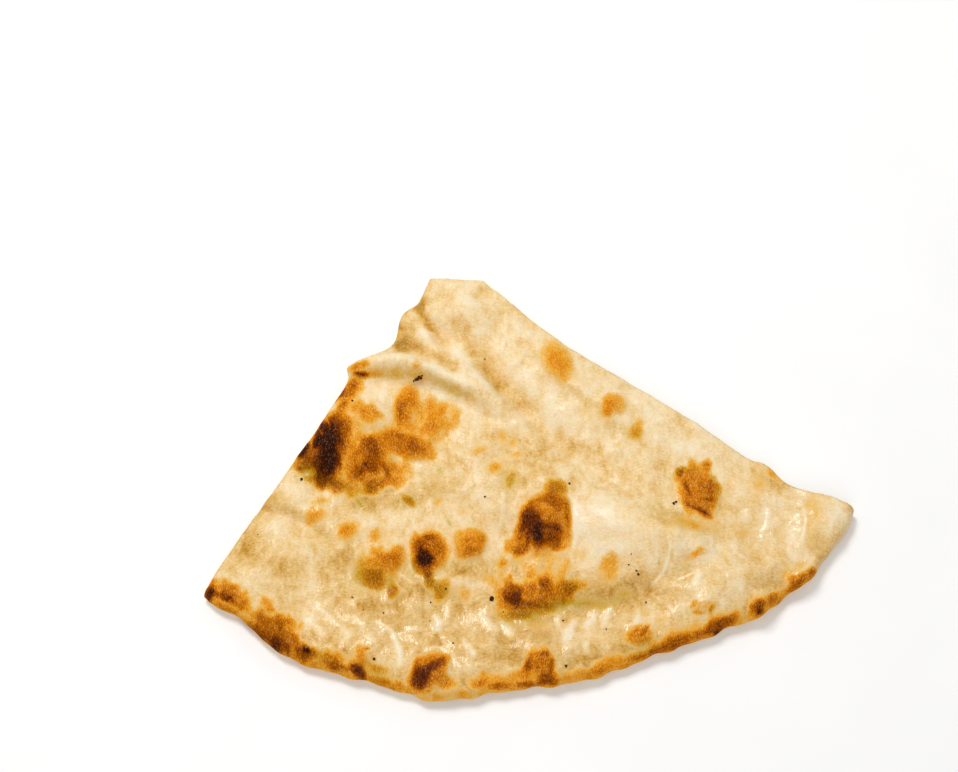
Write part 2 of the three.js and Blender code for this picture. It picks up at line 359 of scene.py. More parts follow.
# ---------- Toasting ----------

# Levels of toast, where pale dough is 0
DARK = 0.78
CHAR = 1.0

PLAIN_EDGE = (0.5, 0.3)  # softness and raggedness of an edge, where a mark below leaves them out

# Toasted marks: x, y, half length, half width, turn, level, softness, raggedness
TOAST = [
    # the burnt left side
    (-75, 5.4, 9, 5.6, 80, CHAR, 0.34, 0.16), (-77.2, 15, 6.4, 4.2, 70, 0.97, 0.34, 0.2),
    (-73.2, 12.6, 6, 4.4, 80, 0.95, 0.45, 0.25), (-72.2, 20.2, 5.2, 4, 70, 0.77, 0.45),
    (-69, 14.4, 11, 3.2, 86, 0.65, 0.5, 0.35), (-81.4, 7.4, 3.4, 1.8, 80, 0.66),
    (-83.8, 10.4, 3.8, 2.4, 66, 0.93, 0.34, 0.25), (-82, 3.6, 4.6, 3.6, 0, 0.6, 0.42),
    (-84.8, 2.6, 0.9, 0.7, 0, 0.84, 0.6, 0.2), (-77.4, -1.8, 6, 2.8, -22, 0.56, 0.45),
    (-70.6, -4, 7, 3.2, -24, 0.54, 0.45, 0.35), (-66.2, 6, 12, 3.8, 86, 0.47, 0.5, 0.4),
    (-65.4, -5.6, 4.2, 3.4, -40, 0.52, 0.45, 0.4), (-75.6, -10.4, 4, 2.2, 20, 0.27, 0.6),
    # the strip from there to the pleat, and the glow beside it
    (-67, 35.4, 6.6, 3.6, 64, 0.6, 0.38), (-70.8, 32.8, 3.6, 1.2, 58, 0.82, 0.5, 0.2),
    (-69.4, 27, 4.6, 2.6, 78, 0.62, 0.5, 0.35), (-63.8, 40.9, 3.6, 1.1, 0, 0.84, 0.4, 0.2),
    (-57.8, 41.2, 4, 1, 0, 0.34, 0.6), (-65.2, 43.4, 4, 2, 20, 0.58),
    (-64.6, 25.4, 6, 3.8, 5, 0.4, 0.5, 0.45), (-60, 23.6, 4.2, 3.4, 40, 0.35, 0.6, 0.45),
    # the browned arm
    (-57.8, 6.4, 9.8, 6.8, 84, 0.55, 0.3, 0.16), (-47.8, 12, 11.8, 5.2, -14, 0.55, 0.3, 0.16),
    (-58.8, 1.4, 6.2, 3.6, 12, 0.76, 0.5, 0.35), (-61, 11, 4.4, 2.2, 70, 0.6, 0.55),
    (-47.8, 15.4, 6, 3.2, -10, 0.58, 0.6), (-42.8, 10, 6.4, 2.4, -18, 0.54, 0.55),
    (-56.6, 8.4, 5.4, 4.4, 60, 0.61, 0.55, 0.4), (-50.2, 1.6, 5.4, 5.4, 20, 0.46, 0.45, 0.35),
    (-58.4, -4.4, 3.4, 3, 90, 0.56, 0.45, 0.4), (-53.4, -3, 4.8, 2.8, 10, 0.51, 0.45, 0.35),
    (-47.8, -3, 3, 2.4, 20, 0.3, 0.5, 0.4),
    # the two lobes above it
    (-46.2, 28.8, 9.2, 4.5, 82, 0.46, 0.46, 0.28), (-47.6, 26.6, 4.8, 2.4, 80, 0.55, 0.6, 0.35),
    (-44.2, 32.6, 2.8, 1.6, 60, 0.5, 0.6, 0.35), (-46.6, 19.6, 5.2, 4.4, 80, 0.39, 0.6, 0.4),
    (-35.6, 20.6, 9, 5, 76, 0.38, 0.55, 0.4), (-39, 17.4, 4.8, 3.4, 20, 0.47, 0.6),
    (-33.2, 25.6, 3.6, 1.8, 75, 0.42, 0.6, 0.4), (-40.6, 25.2, 8.2, 3.8, 84, 0.37, 0.6, 0.4),
    (-30.6, 20.8, 6.4, 4.4, 70, 0.32, 0.6, 0.4), (-66.4, 15, 12, 4.8, 82, 0.38, 0.55, 0.4),
    (-42.4, 21, 10.8, 9, 40, 0.24, 0.45, 0.5), (-61.6, 22.4, 4, 4.4, 10, 0.26, 0.6, 0.5),
    # the great blister
    (4.6, -19.2, 10.5, 8.7, 86, 0.57, 0.16, 0.07), (8.6, -13.6, 5, 4.7, 0, 0.46, 0.2, 0.1),
    (8.2, -6.8, 4.6, 4.1, 50, 0.54, 0.28, 0.2), (-0.4, -22.6, 8.2, 4.2, 106, 0.91, 0.36, 0.2),
    (1.8, -25.4, 5.2, 3.4, 92, 0.91, 0.42, 0.25), (5.8, -22.8, 4.4, 1.8, -4, 0.84, 0.5, 0.25),
    (6.4, -26, 4.2, 2.6, -10, 0.68, 0.5, 0.25), (-3.8, -21, 6.6, 2, 84, 0.72, 0.45, 0.25),
    (12.1, -18.8, 8.2, 1.6, 94, 0.48, 0.38, 0.15), (4, -12.6, 6.4, 2.4, -10, 0.54, 0.5, 0.2),
    (-0.6, -15, 5, 3, 50, 0.58, 0.45, 0.2), (8.8, -28.4, 3.2, 1.8, 20, 0.52, 0.4, 0.25),
    (-6.2, -27.4, 4.2, 2.8, 70, 0.42, 0.5, 0.6), (-4.2, -29.8, 2.8, 1.8, 0, 0.6, 0.45, 0.4),
    (-11.2, -34.6, 3.3, 2.8, 80, 0.48, 0.45, 0.4), (-11.4, -38.6, 2.6, 1.6, 85, 0.3, 0.6, 0.5),
    (2, -32.6, 8, 2.6, 2, 0.24, 0.6, 0.6),
    # the patch below it
    (-7.6, -46.8, 5.4, 4.8, 86, 0.66, 0.36, 0.25), (-7.2, -49, 4.4, 3, 10, 0.7, 0.5, 0.4),
    (-2.4, -50.4, 7.6, 1.7, 2, 0.66, 0.45), (3, -43.2, 4.4, 3.2, 60, 0.74, 0.6, 0.15),
    (-0.4, -45.8, 9.6, 5, 8, 0.57, 0.3), (13, -43.8, 4.8, 2.7, 8, 0.56, 0.45, 0.5),
    (8, -46.8, 5.8, 3.2, 5, 0.44, 0.45, 0.5), (-1, -39.6, 4.4, 3, 90, 0.42, 0.6, 0.7),
    (-8, -41, 4.8, 2.2, 5, 0.4, 0.6, 0.9), (10.8, -38.4, 4, 1.6, 86, 0.28, 0.6, 0.8),
    (4.6, -39.2, 3.2, 1.4, 86, 0.33, 0.6, 0.7), (-5.8, -53.2, 6.6, 2.7, 2, 0.51, 0.45, 0.2),
    # (-1, -57.2) on the next line: painted shade in the trough before the hump
    (3, -51.6, 5.4, 2, 5, 0.38), (17, -48.8, 9, 2.2, -4, 0.27, 0.6), (-1, -57.2, 7, 2.4, 2, 0.22, 0.6),
    (-13.2, -45, 5, 1.6, 96, 0.3, 0.6, 0.4),
    # the eggs and lobes to its left
    (-36.6, -29.8, 7.8, 5.9, 96, 0.57, 0.2, 0.09), (-38.8, -35.6, 4.8, 3.7, 80, 0.58, 0.35, 0.2),
    (-38, -34.4, 3.8, 2.8, -10, 0.98, 0.42, 0.2), (-40.2, -29, 5.8, 2.6, 96, 0.63, 0.5, 0.25),
    (-39.6, -31.6, 2.8, 1.8, 110, 0.82, 0.5, 0.2), (-37.6, -38.2, 2.6, 2.2, 90, 0.6, 0.45),
    (-37.2, -25, 4.2, 2.2, 0, 0.57, 0.55), (-36.8, -41.8, 2.8, 1.8, -70, 0.47),
    (-22.7, -26.7, 6.2, 5.8, 20, 0.37, 0.2, 0.09), (-18.8, -28, 4.2, 1.6, 78, 0.53, 0.5, 0.2),
    (-21.8, -31, 4, 1.6, 14, 0.52, 0.5, 0.2), (-22.6, -28, 4.6, 3.6, 30, 0.43, 0.6, 0.2),
    (-55.6, -36.4, 8.2, 7, 70, 0.46, 0.36, 0.25), (-56.4, -40.4, 5.8, 4, -14, 0.51, 0.45, 0.25),
    (-48.8, -33, 4.6, 3.4, 80, 0.53, 0.35, 0.2), (-53, -33, 3.8, 2.8, 0, 0.5, 0.5, 0.35),
    (-49.8, -45, 3.3, 2.1, 85, 0.48, 0.45), (-32.2, -45, 3.5, 2.4, 80, 0.46, 0.45, 0.35),
    (-24, -46.2, 2.8, 2.5, 80, 0.27, 0.6),
    # small spots of the left half
    (-61.6, -12.4, 2.8, 1.1, -52, 0.36, 0.6, 0.4), (-77.6, -16.4, 3.8, 2.8, 20, 0.37, 0.6),
    (-66.4, -22, 3.3, 2.8, 65, 0.46, 0.65, 0.25), (-56.6, -24, 3.6, 2.1, 62, 0.33, 0.6, 0.25),
    (-44.8, -10.2, 2.9, 1.6, -45, 0.47, 0.45, 0.25), (-13.6, 2.4, 3.2, 2.7, 20, 0.36, 0.6),
    (-7.4, -2.4, 3.8, 2, 84, 0.3, 0.6, 0.4), (-10.4, 15.6, 3.4, 1.8, 80, 0.27, 0.6, 0.5),
    (-7.4, 13, 2.6, 1.8, 60, 0.32, 0.6, 0.5), (-5.4, 8.6, 3.6, 1.5, 20, 0.25, 0.6, 0.5),
    (-19, 9, 3.2, 1.5, 40, 0.26, 0.6, 0.5), (-33.6, 1.4, 2.4, 1.6, 20, 0.22, 0.6),
    (-34, -10.4, 2, 1.6, 60, 0.2, 0.6), (-25, -15, 3.6, 2, 0, 0.16, 0.6),
    (-30, -18.8, 2.4, 0.8, -60, 0.26, 0.6), (-53.4, -18.4, 1.6, 1.2, 0, 0.2, 0.6),
    # faint golden toast in the folds: a few real spots, and along the pleat's flank painted warm shade
    (-51, 40.8, 11, 1.8, -4, 0.22, 0.6), (-31, 35.2, 12, 1.4, -25, 0.17, 0.6),
    (-42.8, 42.4, 2.4, 1.9, 80, 0.32), (-43, 39.6, 5, 1.5, -14, 0.25, 0.6),
    (-42.6, 45, 1.6, 1.2, 80, 0.2, 0.6), (-44.8, 73, 3, 1, 35, 0.34, 0.6),
    (-37, 69.6, 2.6, 2.2, 0, 0.15, 0.6), (-50.8, 59.4, 3.2, 1.6, 30, 0.28, 0.6),
    # spots of the right half
    (26.4, -37, 4.6, 3.2, 85, 0.32, 0.55), (17, -32.4, 3, 2.4, 80, 0.18, 0.6),
    (32, -45.6, 3.6, 2, 0, 0.27, 0.6), (9.9, 46.8, 9.8, 6.2, 105, 0.33, 0.24, 0.1),
    (9.2, 46.6, 6.4, 3.4, 105, 0.41), (30.2, 27.4, 5.6, 4.7, 50, 0.31, 0.28, 0.15),
    (28.6, 26, 3.6, 3, 60, 0.4), (38.8, 17, 3.6, 2.8, 70, 0.36, 0.5, 0.4),
    (59.4, -6.8, 11.4, 7.7, 96, 0.51, 0.17, 0.12), (54.6, 1, 2.6, 1.8, 40, 0.57, 0.45),
    (63, 2.8, 3, 2, 60, 0.5, 0.45), (55.8, -6, 6, 0.8, 106, 0.72), (59.4, -15, 5.4, 1.6, -28, 0.79, 0.45),
    # (56, -21.4) on the next line: painted shade where the fold shades the skin
    (61.6, -10.6, 4.6, 0.6, 2, 0.64), (64.2, -5, 4, 1.3, 85, 0.6), (56, -21.4, 7.6, 3.4, 0, 0.32, 0.6),
    (57, -33, 4, 1.5, 32, 0.34, 0.6, 0.2), (74, -23.4, 6.4, 2.8, 8, 0.19, 0.7),
    (100.6, -16.6, 9, 4, 80, 0.2, 0.7), (82, -4, 6, 3.6, 60, 0.2, 0.7), (87.8, 0.4, 3.4, 2, -45, 0.38),
    (44, -56, 3, 1.6, 30, 0.22, 0.6), (56.8, -54.2, 2.6, 0.7, -4, 0.44),
    (61.2, -52.8, 1.5, 0.7, 50, 0.44), (55.2, -51.4, 1.6, 0.8, 60, 0.36),
    (58.6, -52.4, 4.2, 2.2, 6, 0.25), (36, -62.4, 4.2, 3.1, 18, 0.45, 0.4, 0.35),
    (38.2, -60.2, 2.6, 0.8, 58, 0.64),
    # along the rim, from the left corner to the right one
    (-107.4, -46.4, 8.6, 3.6, -24, 0.52, 0.34, 0.4), (-108, -48.2, 8.4, 2, -28, 0.74, 0.45, 0.4),
    (-113.4, -46.2, 2.6, 2, 80, 0.85), (-101.4, -51, 4, 2.2, -30, 0.48, 0.5, 0.5),
    (-93, -50.6, 2.8, 1.9, -50, 0.4, 0.5, 0.4), (-91.4, -52.8, 2.2, 1.3, 0, 0.45, 0.5, 0.4),
    (-89.4, -61, 12, 4.6, -35, 0.61, 0.28), (-96.4, -59.6, 6.4, 2.2, -38, 0.74, 0.45, 0.35),
    (-87.6, -65.4, 8.4, 2.4, -32, 0.79, 0.5, 0.35), (-80.4, -68, 4.6, 2.6, -28, 0.68, 0.36),
    (-78.7, -67.2, 1.5, 1.2, 0, 0.97, 0.6, 0.2), (-86.4, -57, 5.4, 3.2, -32, 0.51, 0.4, 0.45),
    (-88, -54.8, 2.6, 1.8, 0, 0.46, 0.5, 0.5), (-95.6, -56, 5.4, 2.2, -35, 0.5, 0.45, 0.45),
    # (-72.4, -69.8) on the next line: partly toast, partly painted shade where the rim turns under
    (-72.4, -69.8, 7.6, 2.9, -22, 0.54, 0.5, 0.4), (-66.5, -73.2, 6, 1.6, -16, 0.57),
    (-59.8, -69.8, 4.2, 2.2, 98, 0.47, 0.5, 0.4), (-58, -67, 1.3, 0.9, 0, 0.56, 0.5, 0.4),
    (-61, -74.4, 3.2, 2.1, -30, 0.9), (-54.4, -74, 4.2, 2.2, -20, 0.41), (-52, -78.2, 8, 1.6, -15, 0.53),
    (-35.8, -74.8, 7.8, 5.5, 60, 0.53, 0.2, 0.1), (-39.2, -77.2, 4, 3.6, 40, 0.83, 0.38, 0.2),
    (-34.4, -73.6, 5.6, 2.5, 40, 0.71, 0.42, 0.2), (-41.4, -76, 4.8, 1.8, 75, 0.66),
    (-36.8, -75.4, 3.4, 2.6, 40, 0.72, 0.5, 0.2), (-31.3, -72, 2.6, 0.8, 112, 0.64, 0.5, 0.25),
    (-31.8, -78.2, 3.4, 3, 0, 0.44, 0.45), (1.6, -72.6, 5.2, 4.5, 80, 0.56, 0.34, 0.2),
    (-2.4, -72.6, 4.4, 1.6, 72, 0.66), (3.2, -76.4, 3.8, 1.5, 10, 0.68, 0.45),
    (2.8, -69.8, 2.8, 1.2, 0, 0.61), (-4.6, -76.2, 3, 2, 20, 0.45, 0.6, 0.4),
    (5.4, -73.6, 3.4, 1.1, 80, 0.64), (-18.6, -78.8, 3, 1.4, 20, 0.52), (-12, -79.6, 5, 1.1, 3, 0.62),
    # (-12, -77.6) on the next line: painted shade where the rim turns under
    (-12, -77.6, 12, 2.4, 3, 0.34, 0.5, 0.5), (-3.4, -78.8, 5, 1.2, 4, 0.7), (3.6, -78, 4, 1.1, 4, 0.74),
    (20, -74.8, 4.4, 1.6, 14, 0.48), (14, -76.2, 13, 2.2, 14, 0.36, 0.5, 0.5),
    (27, -71.4, 6, 2.2, 16, 0.42, 0.5, 0.5), (36, -69, 7, 1.6, 18, 0.56),
    (48.6, -64.2, 9.6, 2.8, 18, 0.66, 0.45, 0.25), (43, -66.6, 6, 1.4, 18, 0.6, 0.5, 0.2),
    (57, -61, 6, 1.7, 20, 0.62, 0.5, 0.2), (61.6, -58.8, 5.2, 2.2, 24, 0.64, 0.45, 0.2),
    (66.8, -56.6, 4.8, 1.9, 28, 0.66, 0.45, 0.2), (53, -60.6, 15, 3.2, 20, 0.27, 0.5, 0.6),
    (63.4, -60, 1.8, 0.9, 30, 0.85, 0.5, 0.2), (77.8, -51.8, 3.8, 2.5, 30, 0.74, 0.38, 0.25),
    (78.6, -53.2, 2.2, 0.9, 22, 0.86, 0.5, 0.2), (83.2, -48.6, 5.2, 1.8, 38, 0.56, 0.4, 0.2),
    (94, -41.8, 7.6, 2.1, 38, 0.64, 0.4), (95.4, -43, 3.6, 0.9, 38, DARK, 0.5, 0.2),
    (91, -41.2, 2.2, 1.2, 30, 0.5), (97.4, -38.4, 2.2, 1.2, 36, 0.54),
    (92, -38, 6, 2.2, 34, 0.24, 0.6, 0.6),
]

# Paler lines through the toast, partly paler crust and partly painted highlights, as along the great
# blister's lid: share of it that is missing, reach, path
PALE_AND_HIGHLIGHT_LINES = [
    (0.22, 1.3, [(-0.6, -11.2), (2, -14.6), (6, -17), (9.4, -19.6), (11, -24)]),
    (0.2, 0.6, [(9.6, -16), (11.2, -21), (11.8, -27.5)]),
    (0.45, 0.6, [(-28.4, -21.6), (-28.8, -27), (-26.6, -32.2)]),
    (0.28, 0.5, [(-26.6, -22), (-27, -26.4), (-25.6, -30)]),
    (0.24, 0.5, [(-24.4, -21.4), (-24.8, -25.6)]),
    (0.3, 0.5, [(-59, -28.6), (-58.4, -32), (-56, -35)]),
    (0.4, 0.4, [(-76.4, 23), (-74.6, 19.6), (-73.6, 16)]),
    (0.3, 0.4, [(-78.6, 18.8), (-76.8, 15.4), (-76, 12.6)]),
    (0.3, 0.5, [(-57.8, -30.6), (-56.4, -33), (-53.4, -35.4)]),
    (0.3, 0.5, [(-60.6, -36.2), (-55, -37.4), (-49.6, -36.2)]),
    (0.26, 0.6, [(0.6, -40.4), (1.2, -44.4), (0.8, -48.6)]),
    (0.26, 0.5, [(6, -41), (7.2, -44.4), (7, -47)]),
    (0.4, 0.6, [(-80.7, 16), (-80.8, 10)]),
    (0.2, 0.8, [(-64.6, 18), (-65.4, 12), (-66, 6)]),
    (0.14, 0.8, [(-41, 31), (-41.4, 25), (-41, 19)]),
]

MOTTLE = {"count": 170, "seed": 7, "least": 1.2, "most": 5.0, "low": 0.04, "high": 0.15}
UNDER_SPOTS = {"count": 90, "seed": 23, "least": 2.0, "most": 9.0, "low": 0.25, "high": 0.85}

# Places where the toast is olive rather than orange: oil, and on the sides below blisters and along the
# folds painted shade. x, y, half length, half width, turn, strength
OLIVE_AND_SHADE = [
    (-4, -54.6, 8, 3, 3, 1), (8, -50.4, 9, 2.2, 6, 0.8), (22, -49, 14, 3, 0, 0.6),
    (-57.4, -41, 6.6, 4.4, 0, 0.7), (-61.6, -35, 3, 6, 0, 0.3), (-23, -36.4, 8, 3, 0, 0.3),
    (-50, 56, 4, 4, 60, 0.6), (-44.8, 73, 4, 1.6, 35, 0.9), (-82, 3, 4, 4, 0, 0.9),
    (-76, -2, 8, 3.4, -15, 0.8), (-66, -6, 4, 4, 0, 0.4), (-58, -6, 5, 2.6, 0, 0.6),
    (53, -20, 10, 4, -20, 0.25), (-52, 40.6, 10, 2, -3, 0.5), (-30, 35.2, 11, 2.2, -26, 0.7),
    (-37, -41.6, 3.4, 2.4, -60, 1), (-42.6, -37, 2, 3.4, 0, 0.9), (-44.8, -10.2, 3.4, 3, 0, 0.9),
    (-61.6, -12.4, 3.4, 2.4, -50, 0.9), (-32.2, -45.4, 2.8, 3.6, 0, 0.8),
    (-49.8, -45.2, 2.6, 3.4, 0, 0.7), (-68, -36, 8, 4, -30, 0.3), (-7.6, -3, 4.6, 2.2, 84, 0.8),
    (8.8, -6.4, 4.6, 3.6, 50, 0.7), (13.4, -43.8, 4.6, 2.6, 8, 0.6), (-74, -69.4, 9, 2.4, -22, 0.6),
    (-91, -60, 12, 5, -35, 0.3), (-54, -74.4, 5, 2.6, -20, 0.6), (32, -45.6, 5, 3, 0, 0.5),
    (54.4, 1.4, 3.4, 2.6, 20, 0.7), (66.4, -6, 2.6, 8, 0, 0.4), (-33.6, 1.4, 3, 2, 0, 0.9),
    (38.4, 16, 3, 3, 0, 0.5), (-30, -18.8, 3, 1.6, -60, 0.9), (36, -66, 6, 3, 16, 0.5),
]

# Buttered places: x, y, half length, half width, turn, strength
BUTTER = [
    (-18, -60, 34, 10, 2, 1), (22, -60, 24, 10, 12, 1), (-54, -62, 16, 9, -20, 0.7),
    (88, -26, 24, 15, 35, 0.9), (56, -42, 18, 10, 25, 0.7), (-36, -76, 7, 5, 40, 1),
    (2, -20, 9, 14, 0, 0.5), (60, -8, 9, 12, 0, 0.6), (-50, -44, 18, 6, 0, 0.6),
]

# Honey-coloured places of the untoasted skin, or cream ones where the strength is below 0. Besides the
# skin's own tone, many honey ones are painted shade in dips, troughs and below blisters, and many cream
# ones are painted light on slopes that face away from the lamps
HONEY_LEVEL = 0.38
HONEY_SHADE_AND_LIGHT = [
    (-10, -66, 62, 10, 0, 0.3), (-60, -50, 18, 8, -15, 0.28), (26, -46.6, 26, 5.8, 4, 0.52),
    (66, -33, 18, 6, 30, 0.08), (-8, 11, 15, 7, 0, 0.28), (78, -38, 16, 10, 30, 0.12),
    (-27, 72, 12, 8, 0, -0.08), (50, 15, 24, 12, -35, -0.08), (27, -20, 14, 10, 0, -0.22),
    (30, 0, 20, 8, -30, 0.06), (54, -21, 10, 4.4, -14, 0.5), (-23.6, -37.2, 9, 3.8, 0, 0.34),
    (-24, -42.4, 8, 1.4, 0, -0.22), (-88, -33, 12, 6, 10, 0.08), (-70, -4, 12, 6, -25, 0.22),
    (-60, -62, 12, 6, -20, -0.06), (-50, 24, 22, 16, 0, 0.12), (107, -27, 11, 6, 50, -0.36),
    (0, -40, 18, 14, 0, 0.22), (-30, -52, 16, 5, 0, 0.24), (-68, -36, 10, 4, -35, 0.2),
    (-92, -22, 12, 4, -40, -0.06), (-100, -22, 20, 7, 62, 0.22), (70, -14, 6, 10, 20, 0.18),
    (-3, -55, 12, 2.6, 3, 0.36), (-38, -44, 11, 4, 0, 0.4), (-34, 10, 8, 10, 0, 0.12),
    (-56, 34, 4.6, 4.6, 0, -0.3), (40, -15, 9, 8, 0, 0.14), (18, -20, 4, 9, 0, -0.16),
    (-66, 16, 5, 10, 0, 0.2), (84, -22, 7, 9, 20, 0.1), (-52, -9.4, 15, 5, 4, 0.34),
    (-10, 21, 10, 5, -40, -0.14), (28, -31, 8, 4, 0, -0.26), (-2, -2, 12, 6, 0, 0.28),
    (-50, 61, 5, 7, -20, 0.34), (-9, 74, 10, 4, -45, 0.2), (-42, 76, 4, 5, 0, 0.16),
    (48, 5, 12, 7, -20, 0.1), (-2, -58, 8, 4, 0, 0.22), (52, 23, 6, 3, -35, 0.16),
    (-4, -39, 14, 4, 0, 0.18), (-48, -38, 4, 6, 0, 0.18), (-55, -48, 8, 4, 0, 0.14),
    (-64, -30, 4, 5, 0, 0.26), (-102, -30, 8, 7, 0, 0.24), (-52, 46.6, 7, 2.6, 0, -0.22),
    (86, -2, 8, 4, -35, 0.26), (-70, -65, 7, 3, -20, 0.22), (-29, 57, 7, 4, -50, -0.24),
    (-86, -38, 16, 4.4, -22, 0.16), (-93, -9, 4, 3, 0, 0.26), (-85, -5, 6, 4, -30, -0.24),
    (73, -22, 6, 3.4, 20, 0.14), (88, -31, 3, 6, -10, 0.14), (78, -33, 3, 6, -20, 0.1),
    (92, -25, 2.6, 6, -10, -0.22), (84, -17, 2.4, 6, -15, -0.18), (95, -34, 4, 4, 0, -0.2),
    (64, -31, 5, 3.6, 0, -0.22), (100, -25, 2.6, 7, -10, 0.16), (57, -43, 3, 5, -20, -0.24),
    (98, -17, 4, 9, 0, 0.14), (0, 68, 7, 3, -42, 0.08), (-5.4, 32, 6, 3.2, -28, 0.16),
    (-35, -4, 6, 5, 0, 0.26), (-62, -13, 6, 4, 0, 0.16), (90, -3, 5, 5, 0, 0.16),
    (36, -40, 6, 4, 0, 0.26), (-68, -57, 8, 5, 0, 0.12), (-54, -66, 5, 4, 0, 0.16),
    (-15, -57, 6, 4, 0, 0.16), (-30, 36, 5, 6, 0, -0.14), (16, 26, 5, 10, 20, -0.12),
    (-2, 62, 6, 6, 0, -0.14), (-18, 58, 5, 6, 0, -0.1), (-54, 24, 4, 4, 0, -0.2),
    (-28, -39, 5, 4, 0, 0.1), (110, -18, 6, 6, 0, -0.3),
]

# Creases painted honey as shade, where butter also pools, and ridges and the pleat's shaded flank painted
# cream as light where the strength is below 0: strength, reach, path
CREASE_SHADE_AND_LIGHT = [
    (0.5, 2, [(-49, 69.6), (-44.2, 73.4), (-40.6, 67.4), (-37, 61.6), (-33.4, 57.6), (-31, 53.4)]),
    (0.27, 3.8, [(-31, 62), (-24.4, 56.4), (-18.6, 48.6), (-14.2, 40.6), (-8.4, 34), (0, 27)]),
    (0.12, 2.2, [(-29.6, 60), (-24, 55.4), (-18.6, 48.6), (-14.4, 41.4), (-4, 30)]),
    (0.48, 2.8, [(-54, 59), (-49, 55.6), (-41.6, 52.6), (-35.4, 48.8), (-30, 44.4), (-26, 40.6)]),
    (0.3, 2.4, [(-50, 66), (-48.4, 60.6), (-45, 56.6), (-40, 52)]),
    (0.32, 1.6, [(-66, 41.8), (-56, 41.6), (-50, 40.8), (-45, 39.8), (-41, 39)]),
    (0.34, 1.2, [(-43, 40.4), (-36, 38), (-30, 35.2), (-25, 32.6), (-19, 30)]),
    (-0.34, 2, [(-40, 36.2), (-34, 33.4), (-28, 30.2), (-21, 26.8)]),
    (-0.3, 1.7, [(-46, 45.4), (-38, 42.8), (-32, 40.2), (-26, 37.6), (-18, 33.6)]),
    (0.26, 1.7, [(-100, -12.6), (-86, -14.6), (-77, -21), (-68, -31), (-60, -36)]),
    (0.2, 1.6, [(-52, 78), (-46, 74), (-38, 74), (-30, 78)]),
    (0.22, 2, [(-8, 62), (2, 50), (14, 36), (30, 20), (44, 10)]),
    (-0.24, 2, [(-46, 66), (-39.6, 57), (-33, 51.6)]),
    (-0.26, 2.2, [(-31.6, 55.6), (-25, 47.4), (-18.6, 38.6), (-11, 29)]),
    (-0.2, 3, [(-14, 58), (-6, 46), (4, 34), (16, 22)]),
    (0.12, 1.2, [(10, 21), (12, 16), (15.6, 12.4), (21, 11), (28, 12)]),
    (0.07, 1.4, [(22, 22), (25, 10), (30, -3), (38, -12)]),
]

# Thin raised lines that glint in the butter, also painted paler as a highlight: height, reach, path
GLINTS = [
    (0.6, 1, [(-55, -56), (-50, -59.6), (-47.4, -65), (-46.4, -70), (-47, -74)]),
    (0.5, 0.8, [(-39.4, -67.6), (-33.4, -66), (-28.6, -69.4), (-25, -75)]),
    (0.55, 1.2, [(-34.6, -53.4), (-33.6, -57), (-33.6, -61)]),
    (0.6, 1.8, [(-19.6, -52), (-16.8, -56.4), (-12.6, -60.4)]),
    (0.6, 1.5, [(-12.6, -55.6), (-8.8, -59.6), (-7.4, -64)]),
    (0.5, 1.1, [(-25.8, -62), (-22.2, -67), (-20.4, -70.6)]),
    (0.65, 1.6, [(14.4, -53.6), (12.6, -58), (11.2, -62), (10.2, -67)]),
    (0.6, 1.5, [(22.8, -50.4), (19.8, -55), (17.4, -59.2)]),
    (0.55, 1.4, [(28.4, -50), (25, -53.6), (23.6, -58.8)]),
    (0.45, 1.1, [(17.8, -63.4), (17.2, -69.6)]),
    (0.4, 0.9, [(8.4, -53), (8.2, -59)]),
    (0.4, 1.1, [(-3.6, -55.6), (-2.4, -59.6)]),
    (0.5, 0.5, [(48, -28.8), (47.2, -34.6), (45.2, -39.2), (41, -43.6)]),
    (0.38, 0.8, [(85.2, -12.4), (83.8, -19), (80.2, -26.6)]),
    (0.4, 0.8, [(96.4, -9), (97.2, -19), (94, -31)]),
    (0.4, 1.1, [(58, -39), (56, -45.4)]),
    (0.4, 0.8, [(36.2, -53.6), (34.6, -59.4)]),
    (0.4, 1.4, [(-58.4, -60.4), (-55, -64.8)]),
    (0.3, 1.5, [(-84, -52.4), (-77, -56.6), (-71, -62.4)]),
    (0.26, 1.3, [(-76, -51), (-70, -55.4), (-64, -61.4)]),
    (0.4, 0.8, [(14.4, -10), (15.6, -17), (15.2, -24), (13.6, -31)]),
]

# How marks end, join and vary, and the toast of the rim and of the underside
EDGE_POWER = 1.3
RAGGED_SIZE = 4.0
RAGGED_STRETCH = (1.3, 0.7)
JOIN_POWER = 4
MARK_UNEVENNESS = 0.07
MARK_GRAIN = 3.2
MOTTLE_SHARE = 0.6
MOTTLE_LIMIT = 0.25
RIM_TOAST = 0.46
RIM_TOAST_REACH = 2.6
RIM_TOAST_ENDS = (0.93, 0.84)  # shares of the way across between which the rim's own toast fades
RIM_EVEN = 0.75
RIM_RAGGED = 0.35
UNDER_EDGE = (0.5, 0.35)
UNDER_JOIN_POWER = 6
UNDER_TONE = 0.14
UNDER_UNEVENNESS = 0.08

# The skin's swells and ridges, and how far they are bent
WARP = 5.0
WARP_SIZE = 15.0
SWELL_SIZE = 7.0
RIDGE_SIZE = 9.0
SWELL_SHARE = 0.62
RIDGE_SHARE = 0.38

# Honey colour of the rim, the painted highlight on the raised glint lines, and the skin's painted light
# on its swells and painted shade, with oil, in its dimples
GLINT_PAINTED_HIGHLIGHT = 1.1
RIM_HONEY = 0.50
RIM_HONEY_REACH = 5.5
SKIN_LIGHT_SHADE_AND_OIL = 0.16


